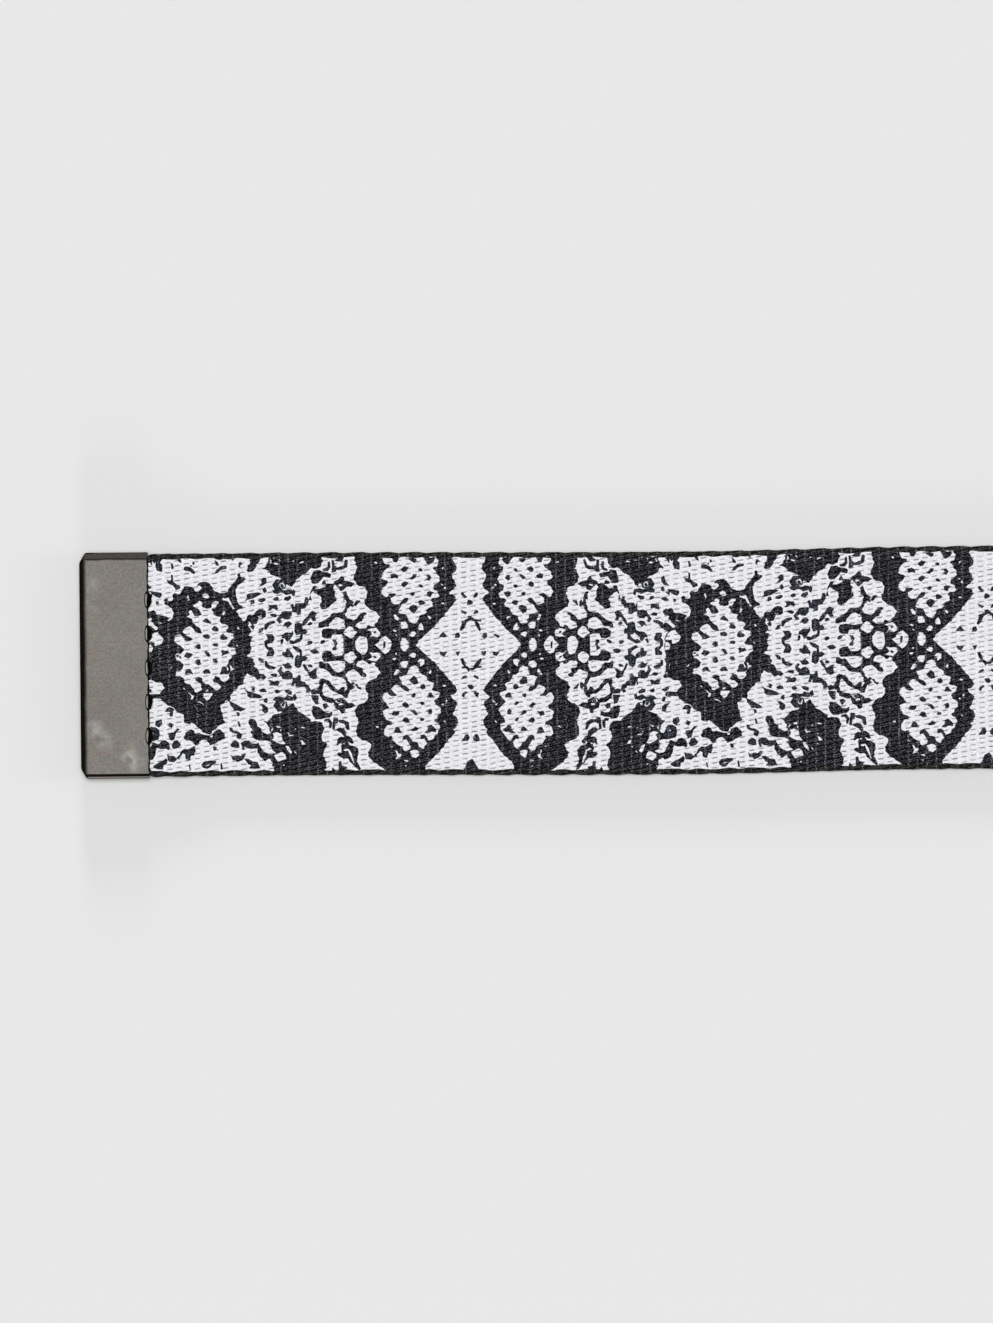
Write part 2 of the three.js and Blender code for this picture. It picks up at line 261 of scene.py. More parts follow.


# The print, charted a shape at a time. A place is millimetres along from the tip's end,
# then millimetres down from the mirror row. A patch is the places of its outline. A stroke is a
# width, then the places of its line. A dot is its middle, then its length, width and turn in
# degrees. A semicolon ends a shape, and later layers lie on top.
PRINT_LAYERS = (
    ("black", "patch", "xy", """
 31.1,12.9 31.8,13.1 32.3,12.6 32.7,12.0 33.3,11.8 34.1,11.6 34.7,11.1 35.1,10.5 35.6,10.4 36.1,9.9
 36.5,10.4 36.8,11.0 37.4,11.6 38.2,12.1 38.9,12.5 39.3,13.2 40.2,13.0 40.9,13.2 41.2,13.7 41.5,14.5
 41.0,15.0 40.9,16.0 41.3,16.7 42.1,17.0 41.5,17.6 41.2,18.5 41.3,19.2 41.7,19.9 41.8,20.8 41.4,21.4
 41.9,21.8 41.9,23.0 32.7,23.0 33.1,21.6 32.6,20.7 32.6,19.9 32.2,19.4 31.8,19.3 31.3,19.8 30.7,19.2
 30.2,18.5 29.9,17.5 30.1,16.6 30.5,17.3 31.1,18.2 31.8,18.6 32.8,18.6 33.2,18.3 32.6,17.8 32.2,17.3
 32.5,16.5 31.8,16.2 30.4,16.2 29.4,15.9 29.0,15.0 29.2,14.1 28.6,13.4 28.6,12.6 29.2,12.5 29.9,13.0
 29.9,13.7 30.5,14.1 30.9,14.9 31.5,15.2 32.3,15.2 32.2,14.3 31.9,13.6 ;
 29.2,3.6 30.0,3.8 30.4,4.3 30.4,4.8 31.1,5.0 31.6,5.5 31.3,5.8 30.6,5.6 30.2,5.9 29.6,5.1 28.6,4.9 ;
 31.8,.3 32.5,.4 33.0,.8 33.0,1.3 32.8,1.8 31.7,1.8 31.8,1.4 32.1,1.0 ;
 30.2,2.1 30.7,2.2 31.2,2.5 31.2,3.0 30.7,2.9 ;
 31.5,2.7 31.8,2.7 32.1,3.3 32.8,3.7 33.3,3.8 33.1,4.1 32.4,4.1 31.5,3.6 ;
 34.4,1.2 34.9,1.2 35.2,.6 35.6,.7 35.8,1.3 36.4,1.8 36.3,2.5 35.9,2.1 35.0,2.1 34.5,1.7 ;
 36.5,2.2 37.0,1.7 37.6,1.9 38.4,1.9 38.7,2.2 38.3,2.7 37.9,2.7 37.7,3.6 37.1,3.9 36.6,3.6 ;
 34.4,3.1 34.9,3.3 35.3,3.0 36.1,3.7 35.6,4.0 34.9,3.9 ;
 34.3,5.3 34.9,4.5 35.6,4.4 36.1,5.0 36.1,5.7 35.0,5.8 34.4,5.7 ;
 38.7,4.7 39.3,4.6 39.8,4.1 40.3,4.1 40.0,4.8 40.3,5.5 39.7,5.8 39.1,5.5 ;
 36.1,5.6 36.8,5.6 37.2,5.1 37.6,5.3 37.6,6.2 38.3,6.3 38.8,7.1 37.3,7.1 36.7,7.0 36.5,6.4 36.3,7.0
 36.0,6.9 36.2,6.2 ;
 38.4,6.7 38.9,6.9 39.1,7.6 38.8,8.2 38.4,8.1 38.5,7.6 38.2,7.3 ;
 39.1,7.7 39.7,7.6 40.2,7.7 40.7,7.1 41.1,6.8 41.1,7.5 40.9,8.4 40.2,8.3 39.4,8.4 ;
 32.0,5.9 32.5,6.0 33.0,6.3 33.6,6.0 33.8,6.3 33.6,6.9 32.9,6.8 32.2,6.9 32.3,6.4 ;
 29.2,6.9 29.7,7.3 29.6,7.8 29.2,7.7 ;
 27.9,7.2 28.5,7.8 29.4,8.1 30.4,8.5 31.0,8.8 30.4,9.0 28.9,8.9 28.5,8.6 28.4,8.1 ;
 34.8,7.7 35.5,7.6 36.0,8.0 35.9,8.4 35.4,8.3 34.9,8.1 ;
 32.8,9.3 33.1,8.9 33.8,8.8 34.3,9.0 34.8,8.9 35.3,8.6 36.2,8.9 36.3,9.4 35.6,9.5 35.0,9.3 34.3,9.5
 33.5,9.6 ;
 32.9,10.3 33.3,9.6 34.2,9.5 35.1,9.6 35.3,10.4 34.8,11.2 33.6,11.2 ;
 39.3,8.6 39.9,8.6 40.6,8.6 40.5,9.3 40.4,10.1 39.9,10.0 39.6,9.4 ;
 30.4,9.9 31.2,10.2 31.8,10.7 31.8,11.4 31.3,11.6 31.0,11.1 31.0,10.6 ;
 39.4,11.2 39.8,10.6 40.5,10.5 41.0,11.0 41.5,11.6 42.2,11.6 42.8,11.4 42.9,12.0 42.3,12.3 41.4,12.4
 40.9,12.7 40.0,12.6 39.7,12.1 ;
 41.2,10.1 41.8,10.0 42.1,10.5 41.7,11.0 41.3,10.7 ;
 43.0,12.4 43.6,12.4 43.9,12.9 43.7,13.4 43.4,13.5 43.3,14.5 42.9,14.4 43.0,13.5 ;
 43.4,14.4 44.0,14.2 44.7,14.3 45.1,14.8 45.3,15.4 44.8,15.7 44.4,15.1 ;
 43.6,17.2 43.7,16.3 44.1,15.6 44.7,15.9 45.3,15.4 46.0,15.9 46.5,16.7 46.1,16.9 45.4,16.3 45.5,17.0
 46.4,17.3 47.0,17.6 47.3,18.2 47.1,19.0 46.9,19.7 47.2,20.3 47.6,21.4 47.2,21.4 46.6,20.6 45.9,20.1
 45.5,19.3 44.3,19.3 43.6,18.7 43.9,18.3 44.4,18.5 44.3,17.4 44.6,17.0 44.3,16.7 ;
 42.6,21.9 42.8,20.8 43.4,21.7 ;
 43.8,21.7 44.0,20.6 43.9,19.9 44.3,19.9 44.5,20.7 45.3,20.8 45.0,21.6 ;
 43.0,9.7 43.5,9.2 44.3,9.1 45.2,9.5 45.4,10.0 46.2,9.9 46.9,10.4 46.0,10.8 45.1,10.9 44.9,11.6
 44.5,11.7 44.2,11.1 43.4,10.8 ;
 45.9,6.8 46.4,6.4 46.7,6.6 46.5,7.0 46.7,7.3 46.2,7.7 ;
 41.2,1.4 41.9,1.1 42.8,1.1 43.1,1.9 43.9,1.7 44.8,1.8 45.2,2.2 45.0,2.8 44.0,2.6 42.4,2.8 41.5,2.7
 41.1,2.2 ;
 44.7,-.9 44.7,1.5 44.9,2.1 45.2,2.8 45.2,3.3 45.1,4.0 44.7,4.6 44.9,4.9 45.4,4.6 46.0,4.35 46.8,4.15
 47.2,4.5 47.7,5.1 48.2,5.5 48.7,5.5 48.8,5.2 48.4,4.9 48.15,4.5 48.2,4.1 47.6,3.95 47.1,3.7 46.95,3.25
 47.3,2.8 48.0,2.6 48.7,2.8 49.1,3.25 49.5,3.3 49.7,2.95 50.3,3.1 51.0,2.9 51.5,1.9 53.2,1.4 53.2,-.9 ;
 40.6,2.9 41.0,2.9 41.5,3.2 42.3,3.1 42.6,3.8 43.4,4.6 44.1,4.8 44.9,4.3 45.4,4.6 45.1,5.1 45.5,5.9
 46.0,6.7 46.0,7.6 45.5,8.9 45.0,9.1 44.6,8.4 43.8,8.3 42.9,7.8 42.0,6.7 41.5,6.5 41.2,7.2 41.1,8.1
 41.4,8.7 42.2,9.0 43.2,9.2 43.3,9.8 42.4,9.9 41.4,9.5 40.9,8.8 40.7,8.2 40.9,7.3 40.7,5.8 41.4,5.8
 42.2,6.0 42.7,6.7 43.4,7.5 44.1,7.8 44.5,7.2 44.9,7.2 45.1,7.9 45.5,7.6 45.4,6.7 44.9,5.6 44.0,5.4
 43.1,5.4 42.4,4.6 41.5,4.0 40.7,3.9
    """),
    ("black", "stroke", "xy", """
 .55 34.2,3.8 33.9,4.4 34.3,4.9 34.9,5.3 ;
 .55 36.2,.3 37.0,.7 37.6,1.1 37.7,1.9 ;
 .5 38.0,3.3 38.4,4.0 38.9,4.7 ;
 .5 41.5,12.8 42.1,12.8 42.5,13.3 42.4,14.2 ;
 .6 43.9,13.0 44.7,13.1 45.3,13.4 45.6,14.5 ;
 .4 46.9,6.7 47.3,7.3 47.8,7.5
    """),
    ("black", "dot", "xy", """
 33.0,5.1 1.1 .55 0 ; 31.1,7.7 1.3 .55 12 ; 33.5,7.9 .9 .55 0 ; 31.5,9.4 .65 .85 0 ;
 36.5,8.9 .55 1.1 0 ; 39.2,3.6 .8 .5 0 ; 39.9,10.7 .9 .5 0
    """),
    ("black", "dot", "x", """
 34.4,-.6 .45 .95 15 ; 36.1,-.5 .9 .65 0 ; 39.1,-.4 .9 .55 -15 ; 41.3,-.5 .9 .5 -30 ;
 39.9,1.1 1.4 .75 0
    """),
    ("black", "stroke", "x", """
 .5 33.1,-1.2 32.3,-1.0 31.7,-.6 31.7,.1 32.1,.6
    """),
    ("white", "patch", "xy", """
 32.5,15.0 33.3,14.8 34.2,15.1 34.4,16.1 34.8,16.8 34.3,17.0 33.4,16.7 32.6,16.2 32.9,15.5 ;
 32.9,18.8 33.5,18.4 34.2,18.1 34.8,18.6 34.9,19.4 34.2,19.7 33.5,20.0 32.9,19.3 ;
 37.3,16.2 37.8,16.3 38.2,17.0 37.5,17.0 ;
 34.9,17.1 35.5,17.2 36.0,18.2 35.7,18.6 35.2,18.0
    """),
    ("white", "stroke", "xy", """
 .35 35.2,14.8 35.6,15.4 36.3,15.4 ;
 .3 32.9,20.6 32.7,21.3 ;
 .45 45.6,17.9 45.8,18.6 46.1,19.3 46.4,20.2
    """),
    ("white", "dot", "xy", """
 33.6,13.9 .9 .45 0 ; 37.8,14.1 .9 .35 10 ; 36.4,14.3 .5 .25 0 ; 36.5,18.3 .35 .6 0 ;
 37.4,17.5 .4 .35 0 ; 32.6,14.3 .35 .8 0 ; 34.1,14.5 .3 .5 0 ; 37.5,15.8 .5 .25 0 ;
 34.6,20.5 .4 .35 0 ; 34.5,10.2 1.0 1.1 0 ; 43.9,9.6 1.15 .75 0 ; 44.4,10.15 .9 .45 0 ;
 45.2,17.9 .9 .5 0 ; 44.7,16.8 .5 .35 0
    """),
    ("black", "dot", "xy", """
 34.5,10.1 .5 .7 0 ; 44.0,9.6 .7 .4 0 ; 45.3,18.4 .5 .4 0
    """),
    ("white", "patch", "x", """
 40.0,-5.6 41.2,-5.4 44.9,-6.6 45.1,-8.6 43.6,-10.2 40.9,-10.3 39.3,-8.6
    """),
    ("black", "patch", "x", """
 41.0,-6.3 41.8,-6.0 42.6,-6.7 43.4,-7.3 43.9,-7.8 43.3,-8.3 43.6,-8.9 43.2,-9.6 43.3,-10.3 42.5,-10.5
 41.9,-10.1 41.2,-9.5 40.2,-9.6 39.8,-9.1 40.4,-8.7 41.2,-8.2 41.3,-7.5 41.0,-7.0
    """),
    ("black", "stroke", "", """
 .46 64.9,-2.4 65.3,-3.2 65.6,-3.9 66.2,-4.3 66.9,-4.4 67.4,-4.0 67.8,-3.4 68.3,-2.4 ;
 .42 65.0,-3.9 65.8,-4.0 ;
 .5 66.1,-4.7 66.8,-4.75 ;
 .5 67.3,-4.2 68.4,-4.1 ;
 .44 65.0,2.4 65.3,3.1 65.6,3.7 66.2,4.2 66.9,4.2 67.4,3.7 67.9,3.0 68.3,2.4 ;
 .42 65.0,3.85 65.7,3.9 ;
 .46 67.5,3.8 68.4,3.75 ;
 .36 66.15,4.2 66.1,4.65
    """),
    ("black", "patch", "", """
 63.9,-1.2 64.15,-1.9 64.5,-2.05 64.75,-1.5 64.6,-1.15 ;
 68.45,-1.3 68.75,-1.95 69.15,-2.0 69.3,-1.3 68.9,-1.15 ;
 63.85,1.2 64.75,1.15 64.6,1.7 64.3,1.95 ;
 68.4,1.2 69.3,1.15 69.1,1.8 68.7,1.9 ;
 61.15,-1.2 61.5,-1.7 61.8,-2.1 62.45,-1.5 62.2,-1.2 61.8,-1.35 ;
 70.5,-1.7 70.9,-1.85 71.45,-1.4 71.3,-1.2 70.9,-1.35 ;
 61.2,1.15 61.8,1.35 62.5,1.15 62.4,1.6 61.9,2.0 61.5,1.7 ;
 70.3,1.2 70.9,1.3 71.5,1.1 71.3,1.6 70.9,1.95 70.5,1.75
    """),
    ("black", "patch", "xy", """
 53.1,-.2 52.9,.6 52.2,1.3 51.1,1.6 51.0,2.3 50.4,2.9 50.2,3.5 50.8,4.0 51.2,4.6 50.9,5.2 50.2,5.8
 49.3,6.2 48.7,6.7 48.5,7.5 48.9,8.1 49.1,8.8 48.8,9.6 48.3,10.0 47.5,10.1 46.8,11.0 46.7,11.6 47.1,12.4
 47.4,13.1 47.1,13.9 46.9,14.6 47.0,15.4 47.7,16.2 48.8,16.4 49.4,16.9 49.6,17.4 49.0,18.2 48.9,18.8
 49.3,19.4 50.0,20.1 51.1,20.8 52.0,21.4 52.7,21.8 52.8,23.0 58.7,23.0 58.6,20.9 59.0,20.2 59.8,19.4
 60.6,18.7 61.2,18.1 61.9,17.2 62.5,16.3 63.2,15.6 63.8,15.0 63.4,14.6 64.0,13.9 64.3,13.1 64.0,12.4
 63.3,12.0 63.7,11.1 64.2,10.1 63.9,9.6 63.1,9.1 63.0,8.6 63.8,8.4 64.2,7.7 63.7,7.0 63.0,6.2 62.4,5.5
 61.9,4.7 61.2,4.2 60.9,3.8 60.5,3.2 59.8,2.6 59.0,1.9 58.0,1.0 57.2,0 57.0,-.2
    """),
    ("white", "patch", "x", """
 44.8,-1.4 44.9,1.4 44.6,1.85 43.4,1.95 43.0,1.6 42.6,1.0 42.0,.9 42.0,-.9 42.7,-1.0 43.0,-1.6 43.4,-1.9
 44.4,-1.8 ;
 46.9,-.6 47.1,-1.05 47.6,-1.45 48.2,-1.5 48.75,-1.2 49.0,-.5 49.0,.5 48.9,1.25 48.5,1.65 48.0,1.75
 47.5,1.45 47.1,.9 46.9,.2 ;
 50.25,0 50.8,-.45 51.1,-.9 51.5,-1.35 52.0,-1.55 52.6,-1.15 53.0,-.55 53.1,.1 52.95,.8 52.5,1.35
 52.0,1.6 51.4,1.3 51.0,.75
    """),
    ("white", "patch", "xy", """
 46.0,1.1 46.5,1.2 46.9,1.65 47.15,2.1 46.8,2.6 46.35,3.1 45.9,3.25 45.5,3.0 45.1,2.5 44.8,2.0 45.2,1.6
 45.6,1.35 ;
 49.15,1.2 49.8,1.35 50.5,1.25 51.1,1.45 51.2,2.0 50.9,2.6 50.4,2.9 49.6,2.8 49.0,2.55 49.5,2.2
 49.75,1.8
    """),
    ("black", "patch", "x", """
 43.0,-.75 43.65,-.85 43.85,-.3 43.7,.05 43.5,.2 43.7,.6 43.5,.95 43.05,.8 43.0,.5 43.3,.25 43.4,-.25
 43.15,-.45 ;
 51.65,-.55 51.95,-.5 51.95,.55 51.7,.6 ;
 64.9,21.9 65.4,21.0 65.9,20.0 66.4,19.5 66.5,19.5 66.5,21.9
    """),
    ("white", "patch", "xy", """
 56.1,3.7 57.4,3.5 57.7,4.3 58.0,5.0 59.0,5.2 59.2,6.2 60.3,6.5 60.2,7.1 59.8,7.8 61.3,8.0 61.2,8.9
 60.3,9.5 60.4,10.1 61.3,10.6 61.5,11.4 60.8,12.3 60.2,13.2 61.1,13.4 61.3,14.2 60.9,14.9 60.2,15.9
 59.5,16.5 59.0,16.3 58.9,17.1 58.1,18.0 57.4,17.2 57.0,16.7 56.4,16.9 56.1,17.7 55.6,18.3 55.0,18.1
 54.6,17.3 53.5,16.9 53.0,16.1 52.9,15.5 52.2,15.8 51.6,15.4 51.6,14.6 52.0,13.8 52.9,13.6 52.4,13.0
 51.8,12.6 51.5,11.9 51.4,11.1 52.6,10.9 52.2,10.1 51.6,9.8 51.3,9.0 51.7,8.2 52.4,8.1 52.9,8.8 54.2,8.6
 53.1,8.2 52.9,7.3 53.6,6.8 54.5,6.9 54.7,6.6 54.2,6.0 54.2,5.4 54.9,5.3 55.5,4.9 56.0,4.3 ;
 54.5,3.2 54.9,2.7 55.8,2.8 56.0,3.5 55.4,4.0 54.6,3.9 ;
 53.4,5.1 53.8,4.3 54.3,4.1 54.4,4.6 53.9,5.2 ;
 57.5,2.8 57.9,2.4 58.7,2.5 58.6,3.3 58.0,3.8 57.8,3.3 ;
 59.2,4.8 59.7,4.2 59.9,4.6 59.6,5.0 ;
 56.1,18.1 56.9,17.8 57.7,18.2 57.6,18.8 57.0,19.4 56.4,19.1 ;
 53.6,18.0 53.9,18.0 54.2,18.6 54.7,18.7 54.3,19.3 53.6,19.6 53.9,18.9
    """),
    ("white", "dot", "xy", """
 55.2,0 1.6 2.5 0 ; 56.7,1.8 1.2 1.0 0 ; 53.6,2.4 .8 .5 0 ; 53.9,1.6 .4 .5 0 ; 62.0,7.0 .7 .4 0 ;
 62.3,9.7 .7 .4 -60 ; 61.8,10.2 .5 .4 0 ; 62.0,13.1 .4 .5 0 ; 50.5,14.0 .7 .4 -20 ;
 52.9,17.4 .5 .3 20 ; 55.5,19.8 .9 .4 0 ; 55.4,20.7 .4 .3 0
    """),
    ("black", "dot", "xy", """
 50.2,2.15 .5 .3 30 ; 56.75,8.65 .75 .7 0 ; 58.2,10.0 .8 .55 0 ; 58.15,12.75 .7 .55 0 ;
 66.5,7.2 .95 .85 0
    """),
    ("black", "patch", "xy", """
 54.5,4.3 54.8,4.0 55.4,4.0 55.8,4.5 55.7,5.1 55.1,5.25 54.6,5.0 ;
 56.15,6.1 56.4,5.6 56.9,5.35 57.2,5.7 57.55,6.2 57.5,6.65 56.9,6.75 56.3,6.5 ;
 57.8,7.4 58.0,6.8 58.4,6.75 58.85,7.1 58.7,7.45 58.2,7.6 ;
 54.8,10.1 55.2,9.85 55.7,10.1 55.95,10.6 55.4,10.75 55.0,10.5 ;
 53.05,12.0 53.25,11.35 53.8,11.4 54.35,11.35 54.25,11.8 53.8,12.15 ;
 56.25,11.3 56.8,11.15 57.2,11.5 57.5,12.05 57.0,11.95 56.6,11.6 ;
 59.05,11.2 59.6,10.95 59.95,11.4 59.75,11.85 59.15,11.85 59.3,11.5 ;
 54.85,12.9 55.1,12.45 55.6,12.5 55.95,12.85 56.05,13.2 55.3,13.3 ;
 56.15,14.6 56.7,14.2 57.0,14.0 57.5,14.35 57.4,14.65 56.6,14.75 ;
 65.0,5.9 65.1,5.5 65.8,5.2 65.9,5.45 65.4,5.8 ;
 65.05,8.7 65.1,8.35 65.6,8.0 65.95,8.05 65.6,8.6 65.25,9.0 ;
 53.4,5.4 54.1,5.4 54.6,6.2 54.9,6.9 55.6,7.1 56.0,7.6 55.9,8.0 55.4,7.9 54.8,7.4 54.2,6.7 ;
 59.1,8.95 59.25,8.3 59.7,8.15 60.1,8.6 60.35,8.9 59.6,9.05 ;
 51.9,12.8 52.9,13.2 53.0,13.7 52.3,13.4 ;
 53.2,15.0 53.6,14.1 54.1,14.1 54.6,15.0 ;
 58.5,15.05 59.1,14.5 59.2,13.9 59.7,13.7 60.2,14.1 60.6,14.5 60.4,14.9 59.8,14.8 59.1,15.15 ;
 54.9,16.3 55.0,15.6 55.6,15.4 56.1,15.8 56.6,16.5 57.3,16.7 57.6,17.7 57.0,17.9 56.4,17.8 56.0,17.0
 55.5,16.1 ;
 57.8,16.1 57.9,15.5 58.4,15.3 58.9,15.7 59.4,16.6 59.0,16.5 58.4,16.0 ;
 64.8,16.45 65.15,16.0 65.5,15.3 65.9,15.3 66.15,15.9 66.0,16.35 65.4,16.45
    """),
    ("white", "patch", "", """
 12.3,-23 27.9,-23 27.9,23 12.3,23
    """),
    ("black", "patch", "", """
 15.9,-9.0 15.9,-8.3 16.0,-7.7 15.2,-7.6 14.9,-8.2 14.5,-8.1 14.4,-7.2 15.0,-7.0 15.6,-6.6 16.0,-6.0
 16.0,-5.2 15.7,-4.6 15.1,-4.2 15.0,-4.5 15.2,-4.9 14.5,-5.1 13.7,-5.3 13.1,-5.2 12.8,-6.1 12.3,-6.0
 11.6,-6.0 11.5,-5.2 12.0,-5.1 12.3,-4.6 12.5,-4.3 12.4,-4.0 12.7,-3.7 13.1,-3.4 13.3,-3.0 13.2,-2.6
 12.7,-2.8 12.3,-3.2 12.1,-3.6 11.4,-3.6 11.3,-2.4 12.3,-2.4 11.9,-1.8 11.6,-1.1 11.5,-.6 11.6,-.3
 11.4,1.0 11.7,2.5 11.5,4.4 11.5,5.7 12.3,5.7 13.0,6.1 13.7,6.2 14.2,6.6 14.3,7.2 14.0,7.6 13.6,7.9
 13.4,8.3 12.7,8.1 12.0,8.3 11.6,8.1 11.5,8.9 12.3,8.9 13.1,8.8 13.6,8.9 14.0,9.4 14.8,10.0 15.7,10.3
 16.1,10.9 17.0,11.4 17.7,11.9 17.5,12.7 17.9,13.2 18.6,13.3 18.9,12.9 19.6,13.6 20.3,14.1 21.0,14.8
 21.5,15.1 22.0,15.0 22.3,14.7 22.7,14.2 23.3,13.8 23.7,13.4 24.3,13.3 24.7,12.9 24.1,12.6 24.2,12.0
 24.0,11.3 23.7,10.6 23.8,10.2 24.3,9.8 24.6,9.4 25.2,9.3 25.6,9.9 25.4,9.2 25.5,8.5 25.8,8.0 26.5,7.4
 27.0,6.8 27.5,6.7 27.8,6.2 27.7,5.6 28.1,5.2 28.2,4.6 28.7,5.0 29.4,5.2 29.9,4.8 30.2,4.0 29.5,3.7
 29.7,3.0 29.4,2.6 29.4,2.2 28.4,2.0 28.6,1.4 29.0,1.2 29.1,.3 28.8,-.4 29.3,-.9 28.9,-1.1 29.5,-1.4
 28.6,-1.7 28.8,-2.1 29.3,-2.3 28.8,-2.9 28.6,-3.5 28.7,-4.1 29.1,-4.2 29.7,-4.2 30.2,-4.7 30.9,-4.6
 31.8,-5.0 31.6,-6.1 30.4,-6.1 30.0,-5.4 29.5,-5.2 28.8,-5.2 28.4,-4.7 28.2,-4.0 27.7,-4.2 27.3,-4.8
 26.9,-5.4 26.6,-5.8 27.0,-6.2 27.7,-6.4 27.8,-6.8 27.2,-6.9 26.8,-7.2 26.7,-8.2 26.5,-9.0 26.6,-9.7
 27.0,-10.4 27.9,-10.9 28.3,-11.4 27.5,-11.6 27.3,-12.3 27.0,-12.3 26.9,-11.4 26.3,-10.7 25.5,-9.8
 25.2,-9.1 24.1,-8.9 23.1,-9.1 22.6,-9.8 22.3,-10.5 21.8,-10.8 21.0,-10.9 20.4,-10.8 20.0,-10.3
 20.7,-10.3 20.8,-9.7 20.3,-9.2 19.8,-9.2 19.4,-9.6 19.1,-10.1 18.1,-10.2 17.6,-9.8 17.3,-9.0 16.6,-8.8 ;
 17.6,15.4 17.9,14.8 18.5,14.3 19.2,14.4 19.5,15.0 20.3,15.0 21.0,15.2 21.8,15.4 22.6,14.9 23.0,14.5
 23.7,14.3 24.2,14.7 24.6,15.8 24.0,16.0 23.2,16.4 22.4,16.8 21.9,17.0 21.8,16.4 21.2,15.9 20.2,16.1
 20.0,16.8 19.4,17.0 19.2,16.3 18.5,16.1 17.6,15.9 ;
 12.3,-15.4 12.5,-14.3 12.8,-14.1 13.0,-14.4 12.9,-13.5 13.3,-12.9 14.0,-12.7 14.2,-13.1 14.2,-13.9
 13.7,-14.1 13.8,-14.5 14.2,-14.8 14.3,-15.4 ;
 15.5,-14.2 15.8,-14.1 16.0,-13.3 15.8,-13.1 15.6,-13.4 ;
 16.6,-14.9 17.1,-15.1 17.4,-14.4 17.3,-14.1 17.0,-14.4 ;
 17.8,-13.0 17.9,-13.4 18.3,-13.6 18.8,-13.4 19.1,-13.1 19.7,-12.5 19.5,-12.2 18.9,-12.8 18.3,-12.8 ;
 15.7,-12.2 16.0,-12.0 16.0,-11.1 16.3,-10.6 17.1,-10.3 17.1,-9.9 16.5,-9.6 16.2,-9.9 16.1,-10.4
 15.6,-10.5 15.0,-10.8 15.0,-11.3 15.5,-11.1 15.7,-11.4 ;
 12.1,-9.4 12.9,-9.3 13.9,-9.0 14.1,-8.7 13.6,-8.3 13.0,-8.4 12.6,-8.8 ;
 13.1,-7.7 13.4,-7.6 13.5,-7.2 13.2,-7.1 ;
 23.0,-15.5 23.2,-14.8 23.9,-14.7 24.9,-15.0 25.0,-15.5 ;
 23.1,-14.6 23.4,-14.2 23.8,-13.9 23.7,-13.6 23.3,-13.8 23.1,-14.2 ;
 23.1,-12.3 23.4,-12.9 23.9,-13.4 24.4,-13.6 25.0,-13.4 25.1,-13.1 24.1,-12.9 23.5,-12.5 ;
 25.9,-15.3 26.4,-15.3 26.3,-14.6 26.1,-14.5 ;
 27.1,-14.0 27.4,-14.3 27.8,-13.9 27.5,-13.7 27.3,-13.2 27.1,-13.5 ;
 28.9,-14.0 29.8,-14.1 30.3,-13.6 29.7,-13.1 29.2,-12.9 ;
 14.4,11.1 14.6,10.7 15.0,10.4 15.5,10.5 15.9,10.9 15.7,11.2 ;
 15.1,11.7 15.4,11.2 15.8,11.3 15.7,11.9 15.3,12.0 ;
 12.6,13.3 12.9,12.8 13.6,12.4 13.75,13.15 13.3,13.8 12.9,13.5 ;
 12.0,13.8 12.8,13.8 13.2,14.2 13.3,15.0 13.1,15.9 12.5,16.1 11.5,16.2 11.2,15.0 11.6,14.4 ;
 15.2,13.0 15.7,13.4 15.4,13.9 15.0,13.6 ;
 14.9,14.8 15.9,14.7 16.5,14.0 16.8,14.1 16.3,14.7 16.0,15.2 15.8,16.0 15.3,16.0 15.1,15.4 ;
 17.2,17.6 18.7,17.6 19.2,17.1 19.5,17.1 19.4,18.2 19.1,18.7 18.6,18.5 18.7,19.2 18.2,19.5 17.8,19.05
 17.7,18.3 17.3,18.2 16.9,18.8 16.6,19.4 16.3,19.0 17.0,18.3 ;
 12.2,16.4 12.7,16.6 13.3,16.7 13.9,16.1 14.3,16.0 15.1,16.7 15.0,17.7 14.5,17.4 13.6,17.5 12.8,17.2
 12.7,18.0 12.5,18.9 12.0,19.3 11.4,19.8 11.3,18.5 ;
 15.5,17.0 15.9,16.2 16.3,16.0 16.9,16.8 16.7,17.2 16.2,17.4 15.6,17.5 ;
 14.6,18.5 15.1,18.7 15.8,18.8 16.3,19.3 15.9,19.7 15.1,19.7 14.7,19.3 ;
 12.3,20.3 13.2,19.9 14.0,19.6 14.5,19.1 14.7,19.5 14.4,20.1 14.0,20.3 13.8,20.9 12.9,20.9 12.4,20.6 ;
 25.3,13.9 25.7,14.1 26.0,14.6 26.9,14.7 27.3,15.2 27.2,15.8 26.8,16.0 26.5,15.7 26.5,15.1 25.9,14.9
 25.5,14.5 ;
 26.8,12.9 27.0,12.9 27.3,13.8 27.0,13.9 ;
 25.4,16.9 25.9,16.5 26.1,16.1 26.6,16.4 26.9,16.6 27.0,17.4 26.2,17.5 25.7,17.2 ;
 27.2,16.7 27.8,16.3 28.5,16.2 29.0,16.7 29.8,16.8 30.3,16.6 30.2,17.5 29.0,17.6 28.2,17.4 27.8,17.1
 27.7,17.8 27.4,17.8 27.5,17.2 ;
 25.5,18.7 26.0,19.0 26.6,18.8 27.2,18.9 27.6,18.5 27.9,18.6 27.7,19.2 27.3,19.6 26.7,19.8 26.2,19.5
 25.9,19.6 25.6,19.2 ;
 27.8,19.3 28.4,19.4 29.2,19.8 30.1,19.9 30.4,21.0 29.5,21.0 28.6,20.9 28.9,20.5 28.4,20.2 ;
 20.4,20.3 21.0,19.8 22.0,19.6 23.0,19.6 22.8,20.0 22.2,20.3 22.0,20.7 21.3,20.9 20.8,20.7 ;
